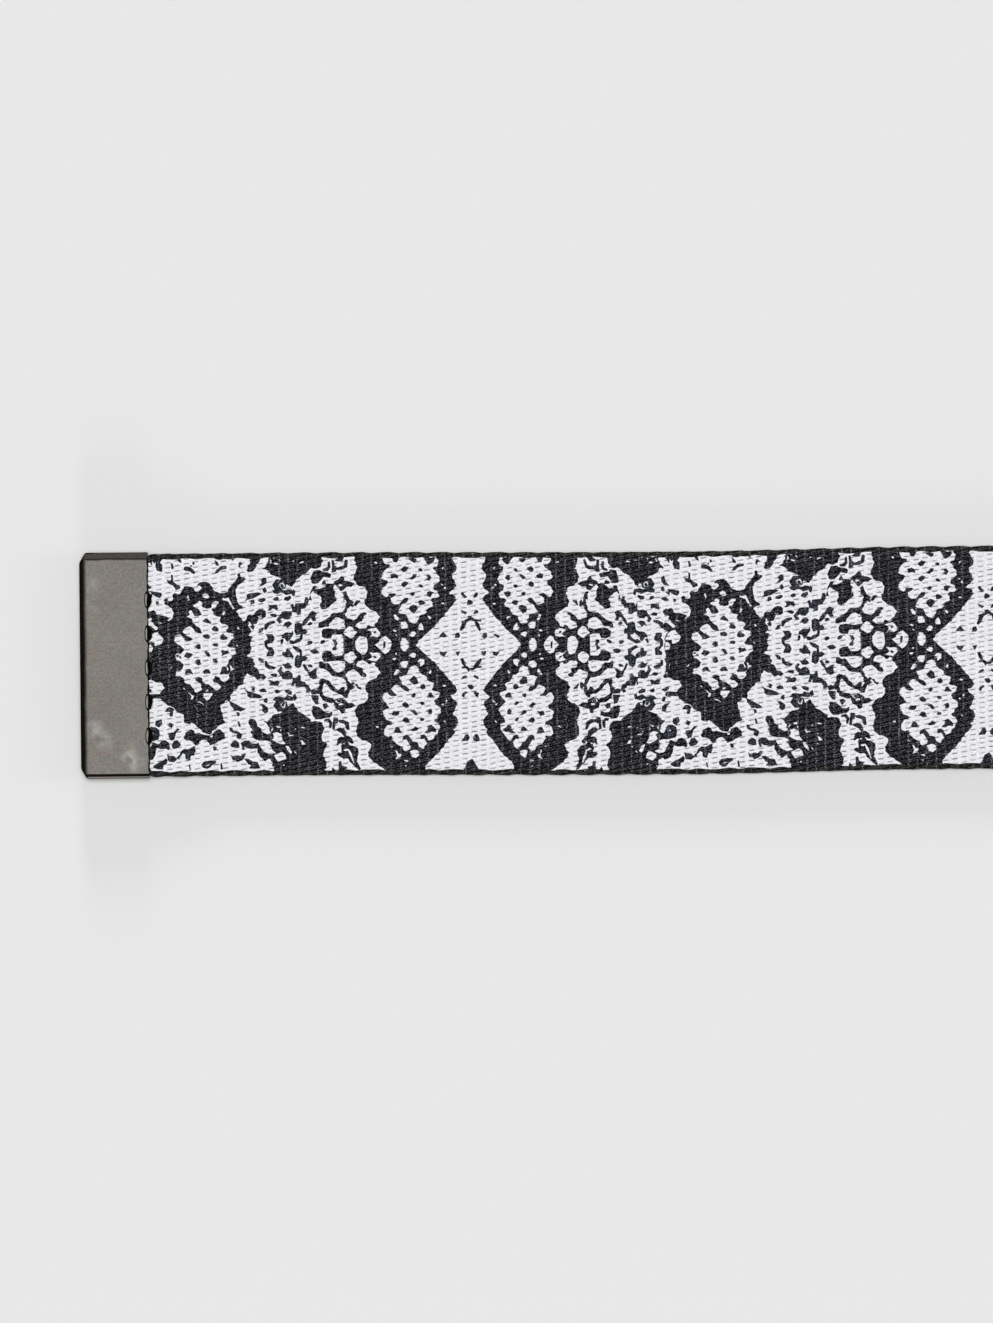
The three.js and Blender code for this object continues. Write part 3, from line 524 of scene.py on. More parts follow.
 25.5,9.4 25.8,9.7 26.2,10.0 26.7,10.2 27.2,10.4 27.6,10.7 27.9,11.0 27.3,11.2 26.8,11.1 26.3,11.1
 25.9,10.5 25.5,10.1 ;
 26.6,11.3 27.0,11.5 27.1,12.0 26.8,12.0
    """),
    ("black", "stroke", "", """
 .3 18.4,20.2 18.5,21.1 ;
 .35 23.7,20.1 23.9,21.1
    """),
    ("black", "dot", "", """
 19.1,-13.6 .3 .3 0 ; 19.4,-14.1 .3 .5 0 ; 22.8,17.5 .6 .8 0
    """),
    ("white", "patch", "", """
 19.2,-6.95 19.7,-7.2 20.3,-7.7 20.8,-7.6 20.9,-7.0 20.9,-6.5 21.7,-6.4 22.4,-6.5 22.4,-7.4 23.3,-7.7
 23.7,-7.5 23.4,-6.8 22.9,-6.4 22.5,-6.3 22.8,-5.5 23.1,-5.1 23.9,-5.0 24.0,-4.6 23.8,-4.1 24.2,-3.8
 25.2,-3.6 25.3,-3.2 24.9,-2.4 25.3,-2.15 26.2,-2.1 26.2,-1.5 26.0,-1.0 25.4,-.6 25.3,-.2 25.1,.2
 25.6,.35 26.2,.2 26.6,.8 26.5,1.4 26.0,1.8 25.5,2.3 25.2,2.9 25.0,3.5 25.3,4.1 25.4,4.9 25.3,5.7
 24.9,6.1 24.4,6.3 24.0,6.0 23.5,5.3 23.2,5.2 22.9,5.2 22.6,6.2 23.2,6.3 23.6,6.6 24.0,6.8 23.8,7.3
 23.4,7.6 22.8,7.6 22.4,7.2 22.0,6.7 21.5,6.5 21.1,6.6 20.8,6.1 20.6,5.5 20.1,5.3 19.6,5.5 19.5,5.9
 20.1,6.0 20.4,6.2 20.6,6.8 20.7,7.5 20.4,7.8 19.8,8.0 19.4,7.8 19.2,7.3 18.8,6.8 18.0,6.4 17.6,5.9
 17.6,5.4 17.1,5.2 16.4,5.2 16.1,4.9 16.4,4.2 17.1,4.1 17.6,3.5 17.4,3.0 17.1,2.6 16.4,2.5 16.2,2.1
 16.2,1.2 17.1,1.3 17.6,.9 17.6,.5 17.3,0 16.5,-.2 16.2,-.6 16.0,-1.1 16.2,-1.8 16.8,-2.05 17.3,-1.9
 17.7,-1.3 17.9,-.9 18.7,-.8 19.15,-1.1 18.9,-1.5 18.3,-1.6 17.8,-2.0 17.5,-2.4 17.6,-2.9 18.3,-3.3
 19.0,-3.4 19.3,-2.8 19.8,-2.5 20.4,-2.1 20.8,-2.2 20.4,-2.9 19.9,-3.3 19.3,-3.8 19.1,-4.5 18.6,-4.9
 18.1,-5.0 18.6,-5.3 18.5,-5.8 19.0,-6.2 19.3,-5.9 19.4,-5.2 20.2,-5.1 20.7,-5.2 20.5,-6.0 20.0,-6.3
 19.6,-6.5 ;
 12.6,-2.4 13.2,-2.4 13.4,-2.1 13.9,-1.8 14.2,-1.3 14.2,-.8 13.8,-.4 13.3,0 12.8,0 12.6,-.6 12.0,-.7
 11.5,-.7 11.7,-1.3 12.1,-1.8 ;
 11.5,-.3 12.1,-.3 12.4,.3 12.3,1.0 11.5,1.0 ;
 18.4,7.9 18.7,7.9 18.9,8.3 19.2,8.4 19.4,8.6 19.2,9.0 18.8,9.2 18.6,9.2 18.8,8.5 18.5,8.3 ;
 11.5,-7.2 12.3,-7.3 12.4,-6.0 11.5,-6.0 ;
 20.0,9.5 20.4,9.4 20.8,9.7 21.0,10.1 20.5,9.8 20.0,9.7 ;
 25.5,3.4 25.8,3.4 25.9,3.9 26.2,3.9 26.2,4.2 25.9,4.3 25.6,4.5 25.5,4.0 ;
 24.2,-8.2 24.7,-8.1 25.3,-8.2 25.7,-7.4 26.1,-6.7 26.4,-6.3 26.1,-6.1 25.8,-6.4 25.6,-6.9 25.2,-7.4
 24.8,-7.7 24.4,-7.8 ;
 21.3,7.7 21.7,7.4 21.9,7.8 21.4,7.9 ;
 20.9,8.0 22.4,8.0 22.5,8.3 22.2,8.8 21.9,9.1 21.5,9.4 21.2,9.2 20.9,8.8 ;
 13.1,-4.1 13.6,-4.1 13.9,-3.9 14.0,-3.7 13.5,-3.9 ;
 22.0,15.3 22.5,15.2 22.5,15.6 22.1,15.6
    """),
    ("white", "stroke", "", """
 .3 15.0,3.9 15.3,3.8 15.7,3.5 ;
 .32 12.1,3.95 12.4,3.45
    """),
    ("white", "dot", "", """
 18.5,-8.2 .4 1.1 0 ; 21.5,-8.5 1.2 1.0 0 ; 24.5,-5.6 .6 .85 0 ; 26.9,-3.0 .45 .6 0 ; 26.8,0 .5 .3 45 ;
 28.7,1.7 .5 .35 0 ; 17.6,7.3 .3 .5 -30 ; 13.5,3.3 .5 .2 0 ; 11.8,5.0 .3 .5 0 ; 12.3,14.7 .4 .35 0 ;
 30.6,-4.85 .7 .4 0 ; 21.5,20.4 .8 .3 -20
    """),
    ("black", "dot", "", """
 20.1,.1 .95 .8 25 ; 23.1,-.15 .9 .55 0 ; 23.0,2.6 .8 .8 0 ; 16.6,1.6 .35 .3 0 ; 17.1,1.9 .3 .3 0
    """),
    ("black", "patch", "", """
 21.0,-4.1 21.2,-4.5 21.5,-4.75 21.9,-4.4 22.2,-4.0 22.4,-3.7 21.9,-3.9 21.3,-4.0 ;
 22.55,-2.75 22.8,-3.3 23.1,-3.4 23.4,-3.0 23.7,-2.7 23.4,-2.5 22.8,-2.5 ;
 21.0,-1.8 21.6,-1.95 22.0,-1.8 22.1,-1.5 21.9,-1.25 21.2,-1.25 21.0,-1.5 ;
 23.85,-1.2 24.1,-1.8 24.4,-2.0 24.7,-1.7 25.1,-1.35 25.0,-1.05 24.3,-1.05 ;
 21.2,1.1 21.5,.9 21.8,1.1 22.0,1.5 22.25,1.8 21.8,1.8 21.4,1.45 ;
 24.05,.9 24.4,.8 24.8,.95 25.2,.8 25.3,1.2 24.8,1.5 24.1,1.7 24.15,1.3 ;
 17.9,1.35 18.2,1.1 18.8,1.3 19.1,1.45 18.9,1.9 18.4,2.05 17.8,1.8 ;
 19.6,2.5 19.9,2.3 20.3,2.4 20.5,2.8 20.5,3.1 20.1,3.25 19.6,3.1 ;
 17.75,4.75 17.9,4.2 18.3,3.95 18.7,4.1 19.0,4.4 19.2,4.9 18.7,4.65 18.4,4.5 18.1,4.8 ;
 20.95,4.45 21.2,4.1 21.7,3.95 22.1,4.3 22.1,4.65 21.6,4.7 21.0,4.7 ;
 23.7,4.8 24.0,4.4 24.0,3.9 24.3,3.6 24.8,3.7 25.0,4.1 25.3,4.6 25.2,4.9 24.7,4.8 24.3,4.8 24.0,4.95 ;
 29.1,-3.2 29.4,-3.6 29.7,-3.1 29.5,-2.7 29.2,-2.9
    """),
)


class BeltSizes(bpy.types.PropertyGroup):
    """Sizes of the webbing and its metal fittings"""

    strap_width: FloatProperty(
        name="Strap Width", description="Width of the webbing where nothing pinches it",
        default=0.038, unit="LENGTH",
    )
    strap_thickness: FloatProperty(
        name="Strap Thickness", description="Thickness of the webbing",
        default=0.0018, unit="LENGTH",
    )
    strap_edge: FloatProperty(
        name="Strap Edge", description="Radius of the webbing's rounded edge",
        default=0.0007, unit="LENGTH",
    )
    selvedge: FloatProperty(
        name="Selvedge", description="Mean width of the bare dark edge beside the print",
        default=0.0009, unit="LENGTH",
    )
    column_pitch: FloatProperty(
        name="Column Pitch", description="Distance between the weave's columns along the strap",
        default=COLUMN_PITCH * MM, unit="LENGTH",
    )
    thread_pitch: FloatProperty(
        name="Thread Pitch", description="Distance between the threads across the strap",
        default=THREAD_PITCH * MM, unit="LENGTH",
    )
    pinch_release: FloatProperty(
        name="Pinch Release", description="Length over which the pinched strap widens past the tip",
        default=0.0006, unit="LENGTH",
    )
    tip_ramp: FloatProperty(
        name="Tip Ramp", description="Length over which the strap comes down from the tip",
        default=0.016, unit="LENGTH",
    )
    buckle_ramp: FloatProperty(
        name="Buckle Ramp", description="Length over which the strap rises to the buckle",
        default=0.026, unit="LENGTH",
    )
    bow: FloatProperty(
        name="Bow", description="How far the strap bows sideways near the tip",
        default=0.00045, unit="LENGTH",
    )
    tip_sheet: FloatProperty(
        name="Tip Sheet", description="Thickness of the tip's sheet metal",
        default=0.0007, unit="LENGTH",
    )
    tip_bend: FloatProperty(
        name="Tip Bend", description="Outer radius of the bends round the tip's face",
        default=0.0012, unit="LENGTH",
    )
    buckle_sheet: FloatProperty(
        name="Buckle Sheet", description="Thickness of the buckle's face and back",
        default=0.0012, unit="LENGTH",
    )
    buckle_side: FloatProperty(
        name="Buckle Side", description="Thickness of the buckle's side walls",
        default=0.0016, unit="LENGTH",
    )
    buckle_corner: FloatProperty(
        name="Buckle Corner", description="Radius of the buckle's corners seen from above",
        default=0.003, unit="LENGTH",
    )
    buckle_edge: FloatProperty(
        name="Buckle Edge", description="Radius round the buckle's face and back",
        default=0.0009, unit="LENGTH",
    )


class BeltColours(bpy.types.PropertyGroup):
    """Colours of the webbing and its metal fittings"""

    yarn: FloatVectorProperty(
        name="Yarn", description="Unprinted white yarn",
        default=(0.92, 0.912, 0.957), subtype="COLOR", min=0, max=1,
    )
    print_ink: FloatVectorProperty(
        name="Print", description="Black of the snakeskin print",
        default=(0.0035, 0.0034, 0.0044), subtype="COLOR", min=0, max=1,
    )
    # The colour the print lightens to, for worn yarn and for painted sheen on its threads.
    print_wear_and_sheen: FloatVectorProperty(
        name="Worn Print", description="Print where the yarn shows through",
        default=(0.24, 0.238, 0.276), subtype="COLOR", min=0, max=1,
    )
    thin_print: FloatVectorProperty(
        name="Thin Print", description="Blue-grey of the smallest marks, where the print is thin",
        default=(0.225, 0.243, 0.312), subtype="COLOR", min=0, max=1,
    )
    selvedge: FloatVectorProperty(
        name="Selvedge", description="Yarn that shows in the dark edges and the back",
        default=(0.215, 0.206, 0.19), subtype="COLOR", min=0, max=1,
    )
    metal: FloatVectorProperty(
        name="Metal", description="Satin gunmetal of the tip and the buckle",
        default=(0.146, 0.135, 0.124), subtype="COLOR", min=0, max=1,
    )
    # Also the colour of the painted highlights on the tip's lip and teeth.
    metal_wear_and_highlight: FloatVectorProperty(
        name="Worn Metal", description="Bright metal along rubbed edges",
        default=(0.42, 0.4, 0.37), subtype="COLOR", min=0, max=1,
    )
    smudge: FloatVectorProperty(
        name="Smudge", description="Pale smudges on the tip's face",
        default=(0.5, 0.49, 0.47), subtype="COLOR", min=0, max=1,
    )
    floor: FloatVectorProperty(
        name="Floor", description="Pale surface under the belt",
        default=(0.8, 0.8, 0.8), subtype="COLOR", min=0, max=1,
    )


class StudioSettings(bpy.types.PropertyGroup):
    """Camera and lights over the belt's tip"""

    camera_height: FloatProperty(
        name="Camera Height", description="Camera's height over the belt",
        default=1.2, unit="LENGTH",
    )
    view_height: FloatProperty(
        name="View Height", description="How much of the floor the picture shows from top to bottom",
        default=0.2254, unit="LENGTH",
    )
    roll: FloatProperty(
        name="Roll", description="Turn of the camera that tilts the belt in the picture",
        default=math.radians(-0.56), subtype="ANGLE",
    )
    overhead_strength: FloatProperty(
        name="Overhead", description="Strength of the soft light overhead", default=1.96,
    )
    upper_strength: FloatProperty(
        name="Upper", description="Strength of the low light beside the belt's upper edge", default=1.6,
    )
    lower_strength: FloatProperty(
        name="Lower", description="Strength of the low light beside the belt's lower edge", default=0.95,
    )
    end_strength: FloatProperty(
        name="End", description="Strength of the low light beyond the buckle", default=0.4,
    )


def add_node(tree, kind, inputs=(), **settings):
    """Add a shader node, with each input a plain value or the socket that feeds it."""
    made = tree.nodes.new("ShaderNode" + kind)
    for name, value in settings.items():
        setattr(made, name, value)
    for key, value in dict(inputs).items():
        if isinstance(value, bpy.types.NodeSocket):
            tree.links.new(value, made.inputs[key])
        else:
            made.inputs[key].default_value = value
    return made


def maths(tree, operation, *values):
    """Add a math node and return its result."""
    return add_node(tree, "Math", enumerate(values), operation=operation).outputs[0]


def ramp(tree, value, low, high):
    """Rise smoothly from 0 to 1 as a value goes from low to high."""
    inputs = {"Value": value, "From Min": low, "From Max": high}
    return add_node(tree, "MapRange", inputs, interpolation_type="SMOOTHSTEP").outputs[0]


def blend(tree, mask, first, second, blend_type="MIX"):
    """Blend two colours by a mask."""
    inputs = {0: mask, 6: first, 7: second}
    return add_node(tree, "Mix", inputs, data_type="RGBA", blend_type=blend_type).outputs[2]


def opaque(colour):
    """Return a colour with full alpha, as colour sockets want it."""
    return (*colour, 1)


def grey(level):
    """Return a grey with full alpha."""
    return (level, level, level, 1)


def in_metres(lengths):
    """Turn millimetres into metres."""
    return [length * MM for length in lengths]


def coordinates(tree, place):
    """Split a place into its X, Y and Z."""
    return add_node(tree, "SeparateXYZ", {0: place}).outputs


def vectors(tree, operation, *values):
    """Add a vector math node and return its outputs."""
    return add_node(tree, "VectorMath", enumerate(values), operation=operation).outputs


def noise(tree, place, scale, detail):
    """Add noise and return its outputs, a value and a colour."""
    inputs = {"Vector": place, "Scale": scale, "Detail": detail}
    return add_node(tree, "TexNoise", inputs).outputs


def wander(tree, place, scale, detail, reach):
    """Return a drift that wanders either way by half of its reach."""
    return maths(tree, "MULTIPLY_ADD", noise(tree, place, scale, detail)[0], reach, -reach / 2)


def make_group(name, inputs, outputs):
    """Make a node group with inputs, given as name: (socket, default), and named float outputs."""
    tree = bpy.data.node_groups.new(name, "ShaderNodeTree")
    for label, (kind, default) in inputs.items():
        socket = tree.interface.new_socket(label, in_out="INPUT", socket_type="NodeSocket" + kind)
        if default is not None:
            socket.default_value = default
    for label in outputs:
        tree.interface.new_socket(label, in_out="OUTPUT", socket_type="NodeSocketFloat")
    return tree, tree.nodes.new("NodeGroupInput").outputs, tree.nodes.new("NodeGroupOutput").inputs


def use_group(tree, group, inputs=()):
    """Place a node group and return its outputs."""
    return add_node(tree, "Group", inputs, node_tree=group).outputs


def new_material(name):
    """Make an empty node material and return it with its Principled shader."""
    material = bpy.data.materials.new(name)
    material.use_nodes = True
    return material, material.node_tree.nodes["Principled BSDF"]


def weave_group():
    """Build the weave: the gaps between its threads, their height, ribs and crests, and their plies."""
    tree, given, result = make_group(
        "webbing_weave",
        {
            "Position": ("Vector", None),
            "Column Pitch": ("Float", COLUMN_PITCH * MM),
            "Thread Pitch": ("Float", THREAD_PITCH * MM),
            "Column Step": ("Float", 0.36),
            "Slant": ("Float", 0.25),
        },
        ("Gap", "Height", "Rib", "Crest", "Ply"),
    )
    # Where a place is, in columns along the strap and in threads across it. Each column's threads
    # start a step further across, and they slant and wander.
    place = coordinates(tree, given["Position"])
    along = maths(tree, "DIVIDE", place["X"], given["Column Pitch"])
    column = maths(tree, "FLOOR", along)
    in_column = maths(tree, "SUBTRACT", along, column)
    threads = maths(tree, "DIVIDE", place["Y"], given["Thread Pitch"])
    step = maths(tree, "MULTIPLY", column, given["Column Step"])
    slant = maths(tree, "MULTIPLY", maths(tree, "SUBTRACT", in_column, 0.5), given["Slant"])
    shift = maths(tree, "ADD", step, slant)
    drift = wander(tree, given["Position"], scale=450, detail=1, reach=THREAD_WANDER)
    thread = maths(tree, "ADD", maths(tree, "SUBTRACT", threads, shift), drift)
    number = maths(tree, "FLOOR", thread)
    in_thread = maths(tree, "SUBTRACT", thread, number)
    # The masks, from shares of a column and of a thread. Each thread's gap has its own depth.
    cell = add_node(tree, "CombineXYZ", {0: column, 1: number}).outputs[0]
    chance = add_node(tree, "TexWhiteNoise", {0: cell}, noise_dimensions="2D").outputs[0]
    from_gap = maths(tree, "ABSOLUTE", maths(tree, "SUBTRACT", in_thread, 0.5))
    from_middle = maths(tree, "ABSOLUTE", maths(tree, "SUBTRACT", in_column, 0.5))
    gap = maths(tree, "MULTIPLY", ramp(tree, from_gap, 0.2, 0.04), ramp(tree, from_middle, 0.42, 0.16))
    gap = maths(tree, "MULTIPLY", gap, maths(tree, "MULTIPLY_ADD", chance, 0.6, 0.5))
    round_thread = maths(tree, "POWER", maths(tree, "MULTIPLY", from_gap, 2), 0.7)
    dip = maths(tree, "MULTIPLY_ADD", from_middle, -0.35, 1)
    crest = ramp(tree, from_middle, 0.18, 0.03)
    masks = {
        "Gap": gap,
        "Height": maths(tree, "MULTIPLY", round_thread, dip),
        "Rib": maths(tree, "MAXIMUM", ramp(tree, from_gap, 0.07, 0.27), crest),
        "Crest": crest,
        "Ply": ramp(tree, maths(tree, "PINGPONG", in_thread, 0.25), 0.07, 0.21),
    }
    for label, mask in masks.items():
        tree.links.new(mask, result[label])
    return tree


def grain_group():
    """Build fine grain: the tone and the height of fine noise, and the tone of broad patches."""
    tree, given, result = make_group(
        "fine_grain",
        {
            "Position": ("Vector", None),
            "Scale": ("Float", 2000.0),
            "Patches": ("Float", 120.0),
            "Stretch": ("Vector", (1, 1, 1)),
        },
        ("Tone", "Patch", "Height"),
    )
    drawn = vectors(tree, "MULTIPLY", given["Position"], given["Stretch"])[0]
    fine = noise(tree, drawn, scale=given["Scale"], detail=3)[0]
    broad = noise(tree, given["Position"], scale=given["Patches"], detail=2)[0]
    tree.links.new(ramp(tree, fine, 0.3, 0.7), result["Tone"])
    tree.links.new(ramp(tree, broad, 0.3, 0.7), result["Patch"])
    tree.links.new(fine, result["Height"])
    return tree


def wear_group():
    """Build edge wear: bright where an outward edge has been rubbed."""
    tree, given, result = make_group(
        "edge_wear",
        {"Position": ("Vector", None), "Start": ("Float", 0.52), "Full": ("Float", 0.58)},
        ("Mask",),
    )
    edges = add_node(tree, "NewGeometry").outputs["Pointiness"]
    rubbed = ramp(tree, edges, given["Start"], given["Full"])
    breaks = noise(tree, given["Position"], scale=900, detail=4)[0]
    broken = ramp(tree, breaks, 0.35, 0.65)
    tree.links.new(maths(tree, "MULTIPLY", rubbed, broken), result["Mask"])
    return tree


def shared_group(name, build):
    """Return a node group by name, and build it the first time."""
    return bpy.data.node_groups.get(name) or build()


def in_mm(length):
    """Turn metres into millimetres."""
    return length / MM


def add_object(name, mesh_data):
    """Turn a bmesh into an object in the scene, and free it."""
    mesh = bpy.data.meshes.new(name)
    mesh_data.to_mesh(mesh)
    mesh_data.free()
    made = bpy.data.objects.new(name, mesh)
    bpy.context.scene.collection.objects.link(made)
    return made


def finish_piece(name, mesh_data, material, node):
    """Turn a bmesh in millimetres into a piece that rides on the belt and stands for its node."""
    bmesh.ops.scale(mesh_data, vec=(MM, MM, MM), verts=mesh_data.verts)
    piece = add_object(name, mesh_data)
    piece.data.materials.append(material)
    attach(piece, "root")
    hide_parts(node)
    return piece


def smooth_step(low, high, value):
    """Rise smoothly from 0 to 1 between two values."""
    share = min(max((value - low) / (high - low), 0), 1)
    return share * share * (3 - 2 * share)


def cut_flat(mesh_data, place, normal, drop_beyond=False):
    """Cut a mesh along a plane, and drop what lies beyond it if told to."""
    everything = mesh_data.verts[:] + mesh_data.edges[:] + mesh_data.faces[:]
    bmesh.ops.bisect_plane(
        mesh_data, geom=everything, dist=MERGE_WITHIN, plane_co=place, plane_no=normal,
        clear_outer=drop_beyond,
    )


def fill_holes(mesh_data):
    """Close every hole with a face and return the new faces."""
    open_edges = [edge for edge in mesh_data.edges if edge.is_boundary]
    return bmesh.ops.holes_fill(mesh_data, edges=open_edges, sides=0)["faces"]


def strap_plan():
    """Work out the strap's places and sizes in millimetres."""
    sizes = bpy.context.scene.belt_sizes
    plan = SimpleNamespace(
        start=in_mm(STRAP_LOW.x), end=in_mm(STRAP_HIGH.x),
        tip_end=in_mm(TIP_LOW.x), tip_mouth=in_mm(TIP_HIGH.x), buckle_mouth=in_mm(BUCKLE_LOW.x),
        half=in_mm(sizes.strap_width) / 2, thickness=in_mm(sizes.strap_thickness),
        edge=in_mm(sizes.strap_edge), selvedge=in_mm(sizes.selvedge),
        tip_ramp=in_mm(sizes.tip_ramp), buckle_ramp=in_mm(sizes.buckle_ramp),
        pinch_release=in_mm(sizes.pinch_release), bow=in_mm(sizes.bow),
    )
    plan.face_half = plan.half - FACE_INSET
    plan.print_half = plan.face_half - SQUEEZE_BAND - BORDER_CLEARANCE
    plan.edge_middle = plan.half - plan.edge
    plan.tip_lift = (in_mm(TIP_HIGH.z) - plan.thickness) / 2
    plan.buckle_lift = in_mm(STRAP_HIGH.z) - plan.thickness
    plan.tip_half = in_mm(TIP_HIGH.y) - in_mm(sizes.tip_sheet) - FIT_GAP
    plan.bow_centre = plan.tip_end + BOW_FROM_TIP
    return plan


def patch_outline(numbers):
    """Return a patch's outline, with the corners of a large one cut round."""
    corners = [Vector(pair) for pair in zip(numbers[::2], numbers[1::2])]
    if len(corners) < ROUNDED_FROM:
        return corners
    sides = zip(corners, corners[1:] + corners[:1])
    return [start.lerp(end, share) for start, end in sides for share in CORNER_SHARES]


def dot_outline(numbers):
    """Return a dot's outline from its middle, length, width and turn."""
    middle_along, middle_down, length, width, turn = numbers
    sides = DOT_SIDES if length > SMALL_DOT else SMALL_DOT_SIDES
    turned = Matrix.Rotation(math.radians(turn), 2)
    outline = []
    for side in range(sides):
        angle = math.tau * (side + 0.5) / sides
        spoke = Vector((length * math.cos(angle), width * math.sin(angle))) / 2
        outline.append(Vector((middle_along, middle_down)) + turned @ spoke)
    return outline


def stroke_outline(numbers):
    """Return the outline of a stroke, narrower at its two ends, from its width and its line."""
    width, *line = numbers
    line = [Vector(pair) for pair in zip(line[::2], line[1::2])]
    sides = ([], [])
    for index, point in enumerate(line):
        before = line[max(index - 1, 0)]
        after = line[min(index + 1, len(line) - 1)]
        ends_here = index in (0, len(line) - 1)
        reach = (after - before).orthogonal().normalized() * width / 2
        reach *= STROKE_END if ends_here else 1
        sides[0].append(point + reach)
        sides[1].append(point - reach)
    return sides[0] + sides[1][::-1]


OUTLINES = {"patch": patch_outline, "dot": dot_outline, "stroke": stroke_outline}


def spread(outline, reach):
    """Grow an outline by a small reach, or shrink it by a negative one."""
    outline = counter_clockwise(outline)
    before = outline[-1:] + outline[:-1]
    after = outline[1:] + outline[:1]
    return [
        point - reach * (end - start).orthogonal().normalized()
        for start, point, end in zip(before, outline, after)
    ]


def from_mirror(along, sign):
    """Return where a charted place lies from the mirror line, on its own side or the other."""
    distance = along - MIRROR_ALONG
    return distance if sign > 0 else -distance * MIRRORED_SCALE


def print_shapes(plan):
    """Yield each inked shape near the first repeat as its ink and outline, the lowest one first."""
    for ink, kind, mirror, text in PRINT_LAYERS:
        reach = INK_SPREAD if ink == "black" else -INK_SPREAD
        for row in text.split(";"):
            numbers = [float(number) for number in row.replace(",", " ").split()]
            outline = spread(OUTLINES[kind](numbers), reach)
            for signs, repeat in product(MIRRORS[mirror], (-1, 0, 1)):
                placed = placed_outline(outline, signs, repeat, plan)
                if shape_shows(placed, plan):
                    yield shape_ink(ink, outline), [squeezed(place, plan) for place in placed]


def placed_outline(outline, signs, repeat, plan):
    """Place a charted outline on the strap, in one repeat and on one side of each mirror line."""
    along_sign, down_sign = signs
    middle = plan.tip_end + MIRROR_ALONG + repeat * PRINT_REPEAT
    return [
        frayed(Vector((middle + from_mirror(along, along_sign), MIRROR_ROW - down_sign * down)))
        for along, down in outline
    ]


def shape_ink(ink, outline):
    """Return a shape's ink, which is the thin print for a small black one."""
    if ink == "black" and longest_side(outline) < THIN_WITHIN:
        return THIN_PRINT
    return INKS[ink]


def longest_side(outline):
    """Return the longer side of the box round an outline."""
    return max(max(values) - min(values) for values in zip(*outline))


def frayed(place):
    """Shift a print's edge a little from thread to thread, as ink on a weave does."""
    turn = math.tau * place.x / PRINT_REPEAT
    along = math.sin(FRAY_ACROSS * place.y + math.sin(FRAY_DRIFTS * turn)) * FRAY
    across = math.sin(FRAY_TURNS * turn + FRAY_ACROSS * place.y / 3) * FRAY / 2
    return place + Vector((along, across))


def shape_shows(outline, plan):
    """Tell whether an outline reaches into the first repeat."""
    alongs = [point.x for point in outline]
    acrosses = [point.y for point in outline]
    in_repeat = min(alongs) < plan.start + PRINT_REPEAT and max(alongs) > plan.start
    return in_repeat and min(acrosses) < plan.print_half and max(acrosses) > -plan.print_half


def squeezed(place, plan):
    """Squeeze what lies past the print's border into a hair's width, which the selvedge hides."""
    over = max(abs(place.y) - plan.print_half, 0)
    past = SQUEEZE_BAND * (1 - math.exp(-over / SQUEEZE_LENGTH))
    across = math.copysign(min(abs(place.y), plan.print_half) + past, place.y)
    return Vector((place.x, across))


def waves_at(along, waves):
    """Return the height at one place of uneven waves that repeat with the print."""
    turn = math.tau * along / PRINT_REPEAT
    return sum(math.sin(count * turn + phase) * height for count, phase, height in waves)


def border_stations(plan):
    """Return the evenly spaced places along one repeat where its long borders have points."""
    step = PRINT_REPEAT / BORDER_STEPS
    return [plan.start + step * index for index in range(BORDER_STEPS + 1)]


def selvedge_outline(side, plan):
    """Return the outline of the dark strip along one long border of a repeat."""
    stations = border_stations(plan)
    border = [Vector((along, side * plan.face_half)) for along in stations]
    mean = plan.selvedge - FACE_INSET
    inner = []
    for along in reversed(stations):
        depth = max(mean + waves_at(along + side * SELVEDGE_SHIFT, SELVEDGE_WAVES), BORDER_CLEARANCE)
        inner.append(Vector((along, side * (plan.face_half - depth))))
    return border + inner


def counter_clockwise(outline):
    """Return an outline in the turning sense that the triangulation reads as filled."""
    following = outline[1:] + outline[:1]
    doubled_area = sum(start.cross(end) for start, end in zip(outline, following))
    return outline if doubled_area > 0 else outline[::-1]


def print_repeat_mesh(plan):
    """Cut one flat repeat of the printed face along the edges of its shapes."""
    stations = border_stations(plan)
    lower = [Vector((along, -plan.face_half)) for along in stations]
    upper = [Vector((along, plan.face_half)) for along in reversed(stations)]
    shapes = [(WHITE_YARN, lower + upper), *print_shapes(plan)]
    shapes += [(SELVEDGE, selvedge_outline(side, plan)) for side in (-1, 1)]
    corners = []
    faces = []
    for _, outline in shapes:
        faces.append(list(range(len(corners), len(corners) + len(outline))))
        corners += counter_clockwise(outline)
    points, _, triangles, _, _, sources = delaunay_2d_cdt(corners, [], faces, 1, MERGE_WITHIN)
    tile = bmesh.new()
    verts = [tile.verts.new((*point, plan.thickness)) for point in points]
    for triangle, inside in zip(triangles, sources):
        if 0 in inside:
            face = tile.faces.new([verts[index] for index in triangle])
            face.material_index = shapes[max(inside)][0]
    bmesh.ops.delete(tile, geom=[vert for vert in tile.verts if not vert.link_faces], context="VERTS")
    inner = [vert for vert in tile.verts if not vert.is_boundary]
    bmesh.ops.dissolve_limit(
        tile, angle_limit=FLAT_WITHIN, verts=inner, edges=tile.edges,
        use_dissolve_boundaries=False, delimit={"MATERIAL"},
    )
    bmesh.ops.triangulate(tile, faces=tile.faces)
    return tile


